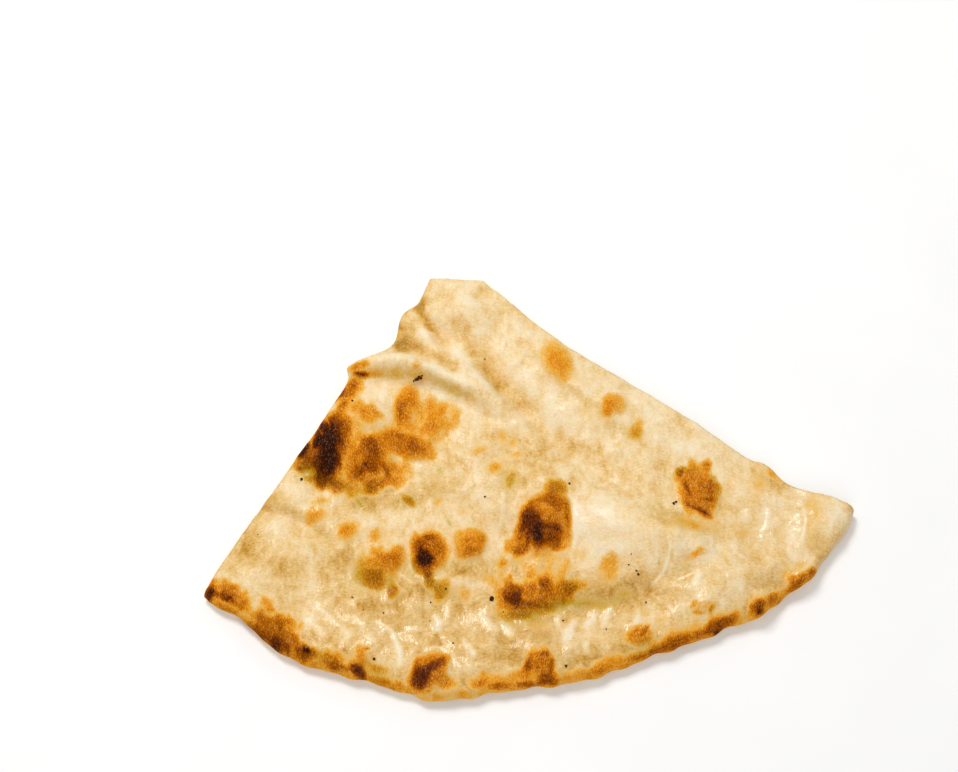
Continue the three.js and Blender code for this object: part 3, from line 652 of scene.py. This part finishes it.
def random_ovals(rule):
    """Seeded spots spread over the sheet, most of them small."""
    draw = np.random.default_rng(rule["seed"])
    ovals = []
    for _ in range(rule["count"]):
        x, y = place(draw.random(), math.sqrt(draw.random()))
        long = rule["least"] + (rule["most"] - rule["least"]) * draw.random() ** 2
        wide = long * draw.uniform(0.5, 1.0)
        level = draw.uniform(rule["low"], rule["high"])
        ovals.append((x, y, long, wide, draw.uniform(0, 180), level))
    return ovals


def spot(x, y, mark, ragged):
    """How toasted a mark leaves each place: half its level on the oval, with a soft ragged edge."""
    level, soft, rough = mark[5:] + PLAIN_EDGE[len(mark) - 6:]
    reach = np.maximum(np.sqrt(oval_distance(x, y, mark)) + rough * ragged, 0)
    return level * 0.5 ** (reach ** (EDGE_POWER / soft))


def joined(spots, power):
    """Many marks as one: a smooth maximum, sharper for a higher power."""
    return sum(each**power for each in spots) ** (1 / power)


def toast_field(x, y, from_rim, across):
    ragged = RAGGED_NOISE(x * RAGGED_STRETCH[0], y * RAGGED_STRETCH[1], RAGGED_SIZE, 3)
    total = joined((spot(x, y, mark, ragged) for mark in TOAST), JOIN_POWER)
    uneven = 1 + MARK_UNEVENNESS * MARK_NOISE(x, y, MARK_GRAIN, 3)
    total = total * uneven * (1 - np.minimum(lines(x, y, PALE_AND_HIGHLIGHT_LINES), 1))
    edge = RIM_TOAST * bell(from_rim, RIM_TOAST_REACH) * (RIM_EVEN + RIM_RAGGED * ragged)
    edge = edge * smooth_step(*RIM_TOAST_ENDS, across)
    mottle = np.minimum(together(hill, x, y, random_ovals(MOTTLE)), MOTTLE_LIMIT)
    return np.clip(np.maximum(total, edge) + MOTTLE_SHARE * mottle * (1 - total), 0, 1)


def under_toast_field(x, y):
    ragged = RAGGED_NOISE(x + 200, y, RAGGED_SIZE, 3)
    marks = [oval + UNDER_EDGE for oval in random_ovals(UNDER_SPOTS)]
    total = joined((spot(x, y, mark, ragged) for mark in marks), UNDER_JOIN_POWER)
    return np.clip(np.maximum(total, UNDER_TONE + UNDER_UNEVENNESS * ragged), 0, 1)


def patches(x, y, ovals):
    """Soft strength, up to 1, from a list of ovals."""
    return np.clip(together(hill, x, y, ovals), 0, 1)


def lines(x, y, marks):
    """Strength of thin marks along paths, which fade in and out at their ends."""
    total = np.zeros(x.shape)
    for strength, reach, path in marks:
        nearest, _, way = near_path(x, y, path)
        total = total + strength * faded(way) * bell(nearest, reach)
    return total


def wisps(x, y, octaves):
    """Soft curling unevenness of the skin: above 0 on its swells, below 0 in its dimples."""
    bent_x = x + WARP * WARP_NOISE(x, y, WARP_SIZE, 2)
    bent_y = y + WARP * WARP_NOISE(x + 70, y - 40, WARP_SIZE, 2)
    swells = SKIN_NOISE(bent_x, bent_y, SWELL_SIZE, octaves)
    ridges = 1 - 2 * np.abs(WRINKLE_NOISE(bent_x * 1.25, bent_y, RIDGE_SIZE, octaves - 1))
    return SWELL_SHARE * swells + RIDGE_SHARE * ridges


def honey_shade_field(x, y, from_rim, skin):
    """How honey-coloured the untoasted skin is, from cream at 0 to amber at 1, with painted shade in
    creases and dips and painted light on ridges, slopes and glints.
    """
    # honey places and creases, with painted shade and painted light among them
    total = HONEY_LEVEL + together(hill, x, y, HONEY_SHADE_AND_LIGHT) + lines(x, y, CREASE_SHADE_AND_LIGHT)
    # painted highlight: the glinting lines made paler
    total = total - GLINT_PAINTED_HIGHLIGHT * lines(x, y, GLINTS)
    edge = RIM_HONEY * bell(from_rim, RIM_HONEY_REACH)
    speckle = 0.08 * CRUST_NOISE(x + 60, y, 2.2, 2) + 0.10 * SKIN_NOISE(x + 20, y * 0.6, 3.4, 2)
    # less honey on the skin's swells and more in its dimples: oil pooled in the dimples, with painted
    # light on the swells and painted shade in the dimples
    return np.clip(total + edge - SKIN_LIGHT_SHADE_AND_OIL * skin + speckle, 0, 1)


# ---------- Small relief of the crust ----------

CRUST_DEPTH = 0.36
CRUST_TOAST = (0.35, 0.9)  # levels of toast between which the crust gets dry and rough
SWELL_DEPTH = 0.45
WISP_DEPTH = 0.62
GRAIN_DEPTH = 0.06

# Sunk lines of the blisters: height, reach in front, reach behind, path
WRINKLES = {
    "left wrinkle": (-1.1, 1.2, 1.2, [(54, 4), (54.6, -2), (56.4, -8), (59, -12)]),
    "cross wrinkle": (-1.4, 1.4, 1.2, [(52, -9), (56, -12.4), (61, -14.6), (66, -18)]),
    "right wrinkle": (-0.9, 1.2, 1, [(62, 5), (61.6, -1), (63.4, -7), (64, -13)]),
    "lid of the great blister": (-1.5, 1.4, 1, [
        (-6, -10), (1, -10.6), (6.6, -13), (9.8, -19), (11.2, -26), (11, -32),
    ]),
    "shoulder of the burnt egg": (-0.8, 1, 0.9, [(-44, -28), (-40, -31.5), (-35, -32.5), (-30, -30)]),
}
SUNK_LID = (6.6, -25.6, 3.4, 3.2, 0)
LID_GROOVE = 0.7
LID_GROOVE_WIDTH = 0.3
LID_HEIGHT = 0.8


def crust_relief(x, y, toast):
    """The skin's faint unevenness, and the rough dry crust where it is toasted."""
    crust = CRUST_DEPTH * np.abs(CRUST_NOISE(x, y, 1.9, 2)) * smooth_step(*CRUST_TOAST, toast)
    swells = SWELL_DEPTH * SKIN_NOISE(x + 40, y + 150, 16.0, 2)
    grain = GRAIN_DEPTH * SKIN_NOISE(x + 90, y, 2.4, 2)
    return swells + WISP_DEPTH * wisps(x, y, 2) + grain + crust + lines(x, y, GLINTS)


def wrinkles(x, y):
    """Sunk wrinkles in the wrinkled blister, and the sunk lid of the great one."""
    ring = np.sqrt(oval_distance(x, y, SUNK_LID))
    groove = LID_GROOVE * bell(ring - 1, LID_GROOVE_WIDTH)
    return together(fold, x, y, WRINKLES.values()) - groove + LID_HEIGHT * np.maximum(0, 1 - ring)


ROUND_EXTRA = 0.5  # the rim's rounding starts this much further in than half the dough
MIDDLE_SHARE = 0.45  # height of the rim's edge, as a share of the thickness
PIT_DEPTH = 0.35  # hollows of the underside
PIT_SIZE = 5.0
CALM_RIM = 1.5  # width of the rim that has no small relief
SKIN_BUTTER = 0.35


def surface(across, back):
    """Places and heights of both faces, with what the materials need to know about them."""
    xy = place(across, back)
    x = xy[:, 0]
    y = xy[:, 1]
    from_rim = (1 - back) * BREAD_REACH
    from_cut = np.minimum(across, 1 - across) * back * BREAD_REACH * SECTOR_SPREAD
    low = underside(x, y)
    toast = toast_field(x, y, from_rim, across)
    skin = wisps(x, y, 3)
    inner = smooth_step(0, CALM_RIM, from_rim)
    relief = crust_relief(x, y, toast) + wrinkles(x, y)
    thick = thickness(x, y, from_rim, from_cut) + relief * inner
    half = DOUGH / 2 + ROUND_EXTRA
    inward = np.minimum(from_rim / half, 1)
    rounding = np.sqrt(1 - (1 - inward) ** 2)
    middle = low + thick * MIDDLE_SHARE
    pits = PIT_DEPTH * np.maximum(UNDER_NOISE(x, y, PIT_SIZE, 3), 0) * inner
    top = middle + (low + thick - middle) * rounding
    bottom = middle + (low + pits - middle) * rounding
    fields = {
        "toast": toast,
        "honey_and_shade": honey_shade_field(x, y, from_rim, skin),
        "olive": patches(x, y, OLIVE_AND_SHADE),
        "butter": np.clip(patches(x, y, BUTTER) + SKIN_BUTTER * skin + lines(x, y, GLINTS), 0, 1),
    }
    return x, y, top, bottom, fields


# ---------- The naan's mesh ----------

# The cut sides and the underside
WALL_BULGE = 0.55
PORE_DEPTH = 0.9
PORE_SIZE = 1.9
PORE_FLATNESS = 1.6
CRUMB_FADE = 0.35
WALL_HONEY = 0.3
UNDER_HONEY = 0.5
UNDER_HONEY_SPREAD = 0.3
UNDER_HONEY_SIZE = 9.0


def sheet_rows():
    """How far back each row of vertices lies."""
    even = ROWS - len(RIM_ROWS) + 1
    last = 1 - RIM_ROWS[-1] / BREAD_REACH
    rows = list(np.linspace(0, last, even + 1))
    return np.array(rows + [1 - gap / BREAD_REACH for gap in RIM_ROWS[-2::-1]])


def face_triangles(starts, flip):
    """Triangles between neighbouring rows, each of which has one vertex more than the last."""
    triangles = []
    for row in range(ROWS):
        near = np.arange(row + POINT_STEPS + 1) + starts[row]
        far = np.arange(row + POINT_STEPS + 2) + starts[row + 1]
        triangles.append(np.stack([near, far[:-1], far[1:]], 1))
        triangles.append(np.stack([near[:-1], far[1:-1], near[1:]], 1))
    triangles = np.vstack(triangles)
    return triangles[:, ::-1] if flip else triangles


def naan_mesh():
    rows = sheet_rows()
    counts = np.arange(ROWS + 1) + POINT_STEPS + 1
    starts = np.r_[0, np.cumsum(counts)[:-1]]
    across = np.concatenate([np.linspace(0, 1, n) for n in counts])
    back = np.repeat(rows, counts)
    x, y, top, bottom, upper_fields = surface(across, back)
    size = len(x)
    rim = np.arange(starts[-1], size)

    upper = np.stack([x, y, top], 1)
    lower = np.stack([x, y, bottom], 1)
    vertices = [upper, lower[:starts[-1]]]
    lower_index = np.arange(size) + size
    lower_index[rim] = rim
    faces = [face_triangles(starts, False)]
    under = face_triangles(starts, True)
    faces.append(lower_index[under])

    count = size + starts[-1]
    under_x = x[:starts[-1]]
    under_y = y[:starts[-1]]
    under_honey = UNDER_HONEY + UNDER_HONEY_SPREAD * UNDER_NOISE(under_x, under_y, UNDER_HONEY_SIZE, 3)
    plain = np.zeros(starts[-1])
    fields = {
        "toast": [upper_fields["toast"], under_toast_field(under_x, under_y)],
        "honey_and_shade": [upper_fields["honey_and_shade"], under_honey],
        "olive": [upper_fields["olive"], plain],
        "butter": [upper_fields["butter"], plain],
        "crumb": [np.zeros(size), plain],
    }
    toast = upper_fields["toast"]

    ends = starts + counts - 1
    walls = [(starts[:-1], 1), (ends[:-1], -1), (np.arange(starts[1]), -1)]
    for edge, side in walls:
        closes = len(edge) == ROWS
        corner = starts[-1] if side == 1 else ends[-1]
        wall, wall_fields, wall_faces = cut_wall(
            upper[edge], lower[edge], toast[edge], edge, lower_index[edge], count, side, corner, closes
        )
        vertices.append(wall)
        for name, values in wall_fields.items():
            fields[name].append(values)
        faces.append(wall_faces)
        count += len(wall)
    return np.vstack(vertices), np.vstack(faces), {k: np.concatenate(v) for k, v in fields.items()}


def cut_wall(high, low, toast, high_index, low_index, first, side, corner, closes):
    """The crumb of a cut side: rows of vertices between the upper edge and the lower one."""
    way = np.gradient(high[:, :2], axis=0)
    way /= np.hypot(way[:, 0], way[:, 1])[:, None]
    out = np.stack([way[:, 1], -way[:, 0]], 1) * -side
    along = np.r_[0, np.cumsum(np.hypot(*np.diff(high[:, :2], axis=0).T))]
    count = len(high)
    grid = [high_index]
    vertices = []
    crumb = []
    toasts = []
    for row in range(1, WALL_ROWS):
        t = row / WALL_ROWS
        inside = math.sin(math.pi * t)
        points = high * (1 - t) + low * t
        pores = CRUMB_NOISE(along, points[:, 2] * PORE_FLATNESS, PORE_SIZE, 3)
        push = WALL_BULGE * math.sqrt(inside) - PORE_DEPTH * np.maximum(pores, 0) * inside
        points[:, :2] += out * push[:, None]
        vertices.append(points)
        crumb.append(np.full(count, inside**CRUMB_FADE))
        toasts.append(toast * (1 - t) ** 2)
        grid.append(np.arange(count) + first + (row - 1) * count)
    grid.append(low_index)
    faces = []
    for upper_row, lower_row in zip(grid, grid[1:]):
        a, b = upper_row[:-1], upper_row[1:]
        c, d = lower_row[:-1], lower_row[1:]
        faces += [np.stack([a, c, d], 1), np.stack([a, d, b], 1)]
        if closes:
            faces.append(np.array([[upper_row[-1], lower_row[-1], corner]]))
    faces = np.vstack(faces)
    zero = np.zeros(count * (WALL_ROWS - 1))
    fields = {
        "toast": np.concatenate(toasts), "honey_and_shade": zero + WALL_HONEY, "olive": zero, "butter": zero,
        "crumb": np.concatenate(crumb),
    }
    return np.vstack(vertices), fields, faces if side == 1 else faces[:, ::-1]


def new_object(name, vertices, faces, fields=None):
    mesh = bpy.data.meshes.new(name)
    mesh.from_pydata((vertices * MM).tolist(), [], faces.tolist())
    for key, values in (fields or {}).items():
        layer = mesh.attributes.new(key, "FLOAT", "POINT")
        layer.data.foreach_set("value", values.astype(np.float32))
    mesh.validate()
    mesh.update()
    mesh.shade_smooth()
    piece = bpy.data.objects.new(name, mesh)
    bpy.context.scene.collection.objects.link(piece)
    return piece


# ---------- Materials ----------

def linear(red, green, blue):
    """An sRGB colour from 0 to 255 as the shader's linear one."""
    def channel(value):
        value = value / 255
        return value / 12.92 if value <= 0.04045 else ((value + 0.055) / 1.055) ** 2.4
    return (channel(red), channel(green), channel(blue), 1.0)


class Nodes:
    """Short ways to add and link shader nodes."""

    def __init__(self, name):
        self.material = bpy.data.materials.new(name)
        self.material.use_nodes = True
        self.tree = self.material.node_tree

    def fill(self, node, inputs):
        """Gives inputs of a node their values, or the outputs that feed them."""
        for key, value in inputs.items():
            if isinstance(value, bpy.types.NodeSocket):
                self.tree.links.new(value, node.inputs[key])
            else:
                node.inputs[key].default_value = value

    def surface(self, inputs):
        """The material, with the inputs of its surface."""
        self.fill(self.tree.nodes["Principled BSDF"], inputs)
        return self.material

    def add(self, kind, inputs, **settings):
        node = self.tree.nodes.new("ShaderNode" + kind)
        for key, value in settings.items():
            setattr(node, key, value)
        self.fill(node, inputs)
        return node

    def attribute(self, name):
        return self.add("Attribute", {}, attribute_name=name).outputs["Fac"]

    def math(self, operation, a, b, clamp=False):
        return self.add("Math", {0: a, 1: b}, operation=operation, use_clamp=clamp).outputs[0]

    def times(self, a, b, clamp=False):
        return self.math("MULTIPLY", a, b, clamp)

    def plus(self, a, b, clamp=False):
        return self.math("ADD", a, b, clamp)

    def minus(self, a, b):
        return self.math("SUBTRACT", a, b)

    def ramp(self, value, stops):
        node = self.add("ValToRGB", {"Fac": value})
        elements = node.color_ramp.elements
        while len(elements) < len(stops):
            elements.new(0.5)
        for element, (position, colour) in zip(elements, stops):
            element.position = position
            element.color = colour
        return node.outputs["Color"]

    def remap(self, value, low, high, to_low=0.0, to_high=1.0):
        """Values from low to high as values from to_low to to_high, with soft ends."""
        inputs = {"Value": value, "From Min": low, "From Max": high, "To Min": to_low, "To Max": to_high}
        return self.add("MapRange", inputs, clamp=True, interpolation_type="SMOOTHSTEP").outputs["Result"]

    def mix(self, share, a, b, blend="MIX"):
        return self.add("Mix", {0: share, 6: a, 7: b}, data_type="RGBA", blend_type=blend).outputs[2]

    def where(self):
        return self.add("TexCoord", {}).outputs["Object"]

    def noise(self, size_mm, detail=2.0, rough=0.5, stretch=(1, 1, 1), distortion=0.0):
        mapping = self.add("Mapping", {"Vector": self.where(), "Scale": stretch})
        inputs = {
            "Vector": mapping.outputs["Vector"], "Scale": 1 / (size_mm * MM), "Detail": detail,
            "Roughness": rough, "Distortion": distortion,
        }
        return self.add("TexNoise", inputs).outputs["Fac"]

    def cells(self, size_mm):
        inputs = {"Vector": self.where(), "Scale": 1 / (size_mm * MM)}
        return self.add("TexVoronoi", inputs).outputs["Distance"]

    def bump(self, height, depth_mm, **below):
        inputs = {"Height": height, "Strength": 1.0, "Distance": depth_mm * MM, **below}
        return self.add("Bump", inputs).outputs["Normal"]


# Single tints, and colours by level of toast or honey; the pale specks on the toast are partly pale crust
# and partly painted glints
SPECK_AND_GLINT_STOPS = [(0.40, linear(250, 206, 120)), (0.70, linear(232, 160, 76)), (0.95, linear(214, 176, 132))]
# olive tint: oil, and painted shade below blisters and folds
OLIVE_SHADE_TINT = linear(208, 226, 180)
CRUMB = linear(252, 236, 202)
CRUMB_SHADE = linear(240, 211, 160)
HONEY_STOPS = [
    (0.00, linear(249, 232, 200)),
    (0.35, linear(242, 214, 164)),
    (0.60, linear(231, 193, 126)),
    (0.80, linear(215, 169, 90)),
    (1.00, linear(190, 138, 48)),
]
TOAST_STOPS = [
    (0.00, linear(242, 212, 158)),
    (0.10, linear(240, 203, 140)),
    (0.20, linear(237, 190, 104)),
    (0.30, linear(234, 168, 54)),
    (0.40, linear(227, 145, 22)),
    (0.50, linear(207, 120, 6)),
    (0.60, linear(178, 97, 3)),
    (0.70, linear(148, 73, 3)),
    (0.80, linear(110, 47, 5)),
    (0.90, linear(78, 30, 7)),
    (1.00, linear(46, 18, 9)),
]


def toasted_colour(n, toast, level):
    """Gold to char, with tiny pale bubbles and short pale fibres in the crust: partly pale crust, partly
    painted glints.
    """
    bubbles = n.remap(n.cells(1.0), 0.08, 0.36, 1.0, 0.0)
    bubbles = n.times(bubbles, n.remap(n.noise(2.2, 2.0), 0.46, 0.62))
    bubbles = n.times(bubbles, n.remap(toast, 0.6, 0.9, 1.0, 0.18))
    threads = n.remap(n.noise(0.62, 2.0, 0.6, (1.7, 0.6, 1)), 0.56, 0.64)
    threads = n.times(threads, n.remap(toast, 0.5, 0.85, 0.8, 0.25))
    specks_and_glints = n.times(n.math("MAXIMUM", bubbles, threads), n.remap(toast, 0.24, 0.5, 0.0, 0.64))
    return n.mix(specks_and_glints, n.ramp(level, TOAST_STOPS), n.ramp(toast, SPECK_AND_GLINT_STOPS))


def dough_colour(n):
    """Untoasted skin, from cream to honey, with faint fibres; the honey carries painted shade and painted
    light too.
    """
    fibres = n.minus(n.noise(0.85, 3.0, 0.65, (0.8, 1.2, 1)), 0.5)
    streaks = n.minus(n.noise(2.4, 2.0, 0.5, (1.6, 0.6, 1)), 0.5)
    fibres = n.plus(n.times(fibres, 0.85), n.times(streaks, 0.4))
    return n.ramp(n.plus(n.attribute("honey_and_shade"), fibres, clamp=True), HONEY_STOPS)


def wetness(n, toast, crumb):
    """Butter: a wet coat in patches, and small glints on the toasted skin."""
    butter = n.attribute("butter")
    coat_patches = n.remap(n.noise(9, 3.0, 0.6, distortion=0.6), 0.36, 0.62)
    wet = n.times(n.plus(butter, 0.25), coat_patches, clamp=True)
    wet = n.times(wet, n.remap(crumb, 0.1, 0.6, 1.0, 0.0))
    wet = n.times(wet, n.remap(toast, 0.2, 0.42, 1.0, 0.08))
    glints = n.remap(n.noise(1.2, 2.0, 0.6), 0.58, 0.66)
    glints = n.times(glints, n.remap(toast, 0.3, 0.5, 0.0, 0.7))
    return n.plus(wet, n.times(glints, butter), clamp=True)


def bread_material():
    n = Nodes("naan_crust")
    toast = n.attribute("toast")
    crumb = n.attribute("crumb")

    # the edge of each toasted mark breaks up into grains
    grain = n.math("MINIMUM", n.minus(n.noise(0.62, 3.0, 0.7, (1.4, 0.7, 1)), 0.5), 0.06)
    blotch = n.minus(n.noise(1.9, 2.0, 0.5), 0.5)
    middle = n.times(toast, n.minus(1.15, toast))
    ragged = n.plus(n.times(grain, 2.6), n.times(blotch, 0.4))
    level = n.plus(toast, n.times(ragged, n.times(middle, 1.2)), clamp=True)

    base = n.mix(n.remap(level, 0.02, 0.24), dough_colour(n), toasted_colour(n, toast, level))
    # the olive tint, which in places is painted shade below blisters and folds
    oily_shade = n.times(n.attribute("olive"), n.remap(level, 0.05, 0.3, 0.35, 1.0))
    base = n.mix(oily_shade, base, OLIVE_SHADE_TINT, "MULTIPLY")
    pores = n.remap(n.noise(2.2, 3.0, 0.6), 0.35, 0.6)
    bare_crumb = n.times(crumb, n.remap(toast, 0.3, 0.6, 0.9, 0.2))
    base = n.mix(bare_crumb, base, n.mix(pores, CRUMB_SHADE, CRUMB))

    wet = wetness(n, toast, crumb)
    fine = n.times(n.noise(0.7, 3.0, 0.6), n.remap(toast, 0.1, 0.8, 0.6, 1.0))
    wrinkled = n.bump(n.noise(3.4, 3.0, 0.6, (0.7, 1.3, 1), 0.4), 0.42)
    return n.surface({
        "Base Color": base,
        "Roughness": n.remap(wet, 0.0, 1.0, 0.62, 0.40),
        "Specular IOR Level": 0.0,
        "Normal": n.bump(fine, 0.36, Normal=wrinkled),
        "Coat Weight": wet,
        "Coat Roughness": 0.20,
        "Coat IOR": 1.46,
        "Coat Normal": n.bump(n.noise(1.5, 2.0, 0.5, (1.5, 0.7, 1)), 0.22),
        "Subsurface Weight": 0.35,
        "Subsurface Radius": (1.0, 0.5, 0.2),
        "Subsurface Scale": 1.8 * MM,
    })


def fleck_material():
    n = Nodes("burnt_fleck")
    tone = n.ramp(n.noise(0.5, 2.0), [(0.35, linear(40, 16, 5)), (0.65, linear(104, 54, 20))])
    grain = n.bump(n.noise(0.3, 2.0), 0.1)
    return n.surface({"Base Color": tone, "Roughness": 0.8, "Specular IOR Level": 0.0, "Normal": grain})


def floor_material():
    n = Nodes("white_table")
    tone = n.ramp(n.noise(60, 2.0), [(0.3, (0.97, 0.97, 0.97, 1)), (0.7, (1.0, 1.0, 0.995, 1))])
    return n.surface({"Base Color": tone, "Roughness": 0.6})


# ---------- Burnt flecks ----------

# x, y, radius; sizes below are shares of the radius
FLECKS = [
    (-14.8, -47.8, 0.95), (-43.7, 38, 0.45), (-42.6, 38.5, 0.8), (-41.3, 38.8, 0.8), (-40.6, 39.4, 0.35),
    (-55.2, -70.6, 0.5), (13.4, -4.2, 0.42), (36, -38.5, 0.45), (36.6, -39.6, 0.42), (-17.2, -9.8, 0.32),
    (34.2, -33, 0.22), (33.3, -36.4, 0.24), (10, -55.5, 0.3), (39.2, -48.9, 0.36), (-63.6, -47.4, 0.32),
    (-59.6, -52, 0.22), (-52.6, -53.1, 0.28), (-36.2, -49.2, 0.3), (-30.9, -44.4, 0.3),
    (-34.7, -44, 0.22), (-10.8, -52.6, 0.24), (-17.1, 49.3, 0.28), (50.6, -12.4, 0.48),
    (51.5, -11.7, 0.4), (-28.3, -64.6, 0.3), (10.4, -73.1, 0.4), (24.8, -59.2, 0.24), (-30.4, -78.9, 0.3),
    (-83.7, -1.9, 0.5), (-66.2, 29.1, 0.38), (-98, -24, 0.22), (-36.4, -56, 0.2),
]
FLECK_SINK = 0.25
FLECK_SEED = 5
FLECK_LUMPS = 0.28
FLECK_LIMITS = (0.6, 1.4)
FLECK_LENGTH = (0.9, 1.3)
FLECK_WIDTH = (0.8, 1.1)
FLECK_HEIGHT = 0.6


def top_height(x, y, upper):
    """The naan's upper face at one place, from its nearest vertex."""
    return upper[np.argmin((upper[:, 0] - x) ** 2 + (upper[:, 1] - y) ** 2), 2]


def fleck_mesh(upper):
    """All the flecks as one mesh of small lumpy grains."""
    shape = bmesh.new()
    bmesh.ops.create_icosphere(shape, subdivisions=2, radius=1.0)
    vertices = np.array([v.co[:] for v in shape.verts])
    faces = np.array([[v.index for v in f.verts] for f in shape.faces])
    shape.free()
    draw = np.random.default_rng(FLECK_SEED)
    all_vertices = []
    all_faces = []
    for x, y, radius in FLECKS:
        lumps = 1 + FLECK_LUMPS * draw.standard_normal(len(vertices))
        grain = vertices * np.clip(lumps, *FLECK_LIMITS)[:, None] * radius
        grain = grain * np.array([draw.uniform(*FLECK_LENGTH), draw.uniform(*FLECK_WIDTH), FLECK_HEIGHT])
        turn = draw.uniform(0, math.pi)
        spin = np.array([[math.cos(turn), -math.sin(turn)], [math.sin(turn), math.cos(turn)]])
        grain[:, :2] = grain[:, :2] @ spin.T
        grain += np.array([x, y, top_height(x, y, upper) + radius * FLECK_SINK])
        all_faces.append(faces + len(vertices) * len(all_vertices))
        all_vertices.append(grain)
    return np.vstack(all_vertices), np.vstack(all_faces)


# ---------- Studio ----------

CAMERA_PLACE = (-0.0193, -0.2603, 0.5570)  # metres
CAMERA_TILT = 28.284
CAMERA_LENS = 63.0
CAMERA_SENSOR = 36.0
CAMERA_NEAR = 0.01

# name, azimuth, elevation, distance in metres, size, power, colour
LIGHTS = [
    ("key", -32, 58, 1.1, 0.34, 6.3, (1.0, 0.99, 0.97)),
    ("fill", 184, 43, 1.3, 1.0, 4.5, (1, 1, 1)),
    ("rim", 40, 35, 1.2, 0.5, 1.3, (1, 1, 1)),
]
WORLD_STRENGTH = 0.40
TABLE_HALF = 1600
TABLE_DROP = 0.0002  # metres


def make_camera():
    data = bpy.data.cameras.new("camera")
    data.lens = CAMERA_LENS
    data.sensor_width = CAMERA_SENSOR
    data.sensor_fit = "HORIZONTAL"
    data.clip_start = CAMERA_NEAR
    camera = bpy.data.objects.new("camera", data)
    camera.location = CAMERA_PLACE
    camera.rotation_euler = (math.radians(CAMERA_TILT), 0, 0)
    bpy.context.scene.collection.objects.link(camera)
    bpy.context.scene.camera = camera


def area_light(name, azimuth, elevation, distance, size, power, colour):
    """A square soft light that looks at the naan. Azimuth 0 is behind it, 90 to its right."""
    data = bpy.data.lights.new(name, "AREA")
    data.size = size
    data.energy = power
    data.color = colour
    light = bpy.data.objects.new(name, data)
    turn = math.radians(azimuth)
    rise = math.radians(elevation)
    away = Vector((math.sin(turn) * math.cos(rise), math.cos(turn) * math.cos(rise), math.sin(rise)))
    light.location = away * distance
    light.rotation_euler = away.to_track_quat("Z", "Y").to_euler()
    bpy.context.scene.collection.objects.link(light)


def make_studio():
    bpy.context.scene.view_settings.view_transform = "Standard"
    world = bpy.data.worlds.new("studio")
    world.use_nodes = True
    background = world.node_tree.nodes["Background"]
    background.inputs["Color"].default_value = (1, 1, 1, 1)
    background.inputs["Strength"].default_value = WORLD_STRENGTH
    bpy.context.scene.world = world
    for light in LIGHTS:
        area_light(*light)
    corners = TABLE_HALF * np.array([[-1, -1, 0], [1, -1, 0], [1, 1, 0], [-1, 1, 0]])
    table = new_object("table", corners, np.array([[0, 1, 2, 3]]))
    table.location.z = -TABLE_DROP
    table.data.materials.append(floor_material())


# ---------- Assembly ----------

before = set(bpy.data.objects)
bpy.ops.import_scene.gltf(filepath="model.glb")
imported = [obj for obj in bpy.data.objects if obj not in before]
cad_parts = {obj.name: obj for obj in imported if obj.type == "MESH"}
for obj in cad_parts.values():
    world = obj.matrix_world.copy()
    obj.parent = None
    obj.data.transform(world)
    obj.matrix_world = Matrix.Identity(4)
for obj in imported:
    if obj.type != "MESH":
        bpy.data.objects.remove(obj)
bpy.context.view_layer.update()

make_camera()
make_studio()

naan_vertices, naan_faces, naan_fields = naan_mesh()
naan = new_object("naan_bread", naan_vertices, naan_faces, naan_fields)
naan.data.materials.append(bread_material())
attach(naan, "root")
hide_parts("naan")

flecks = new_object("burnt_flecks", *fleck_mesh(naan_vertices))
flecks.data.materials.append(fleck_material())
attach(flecks, "root")
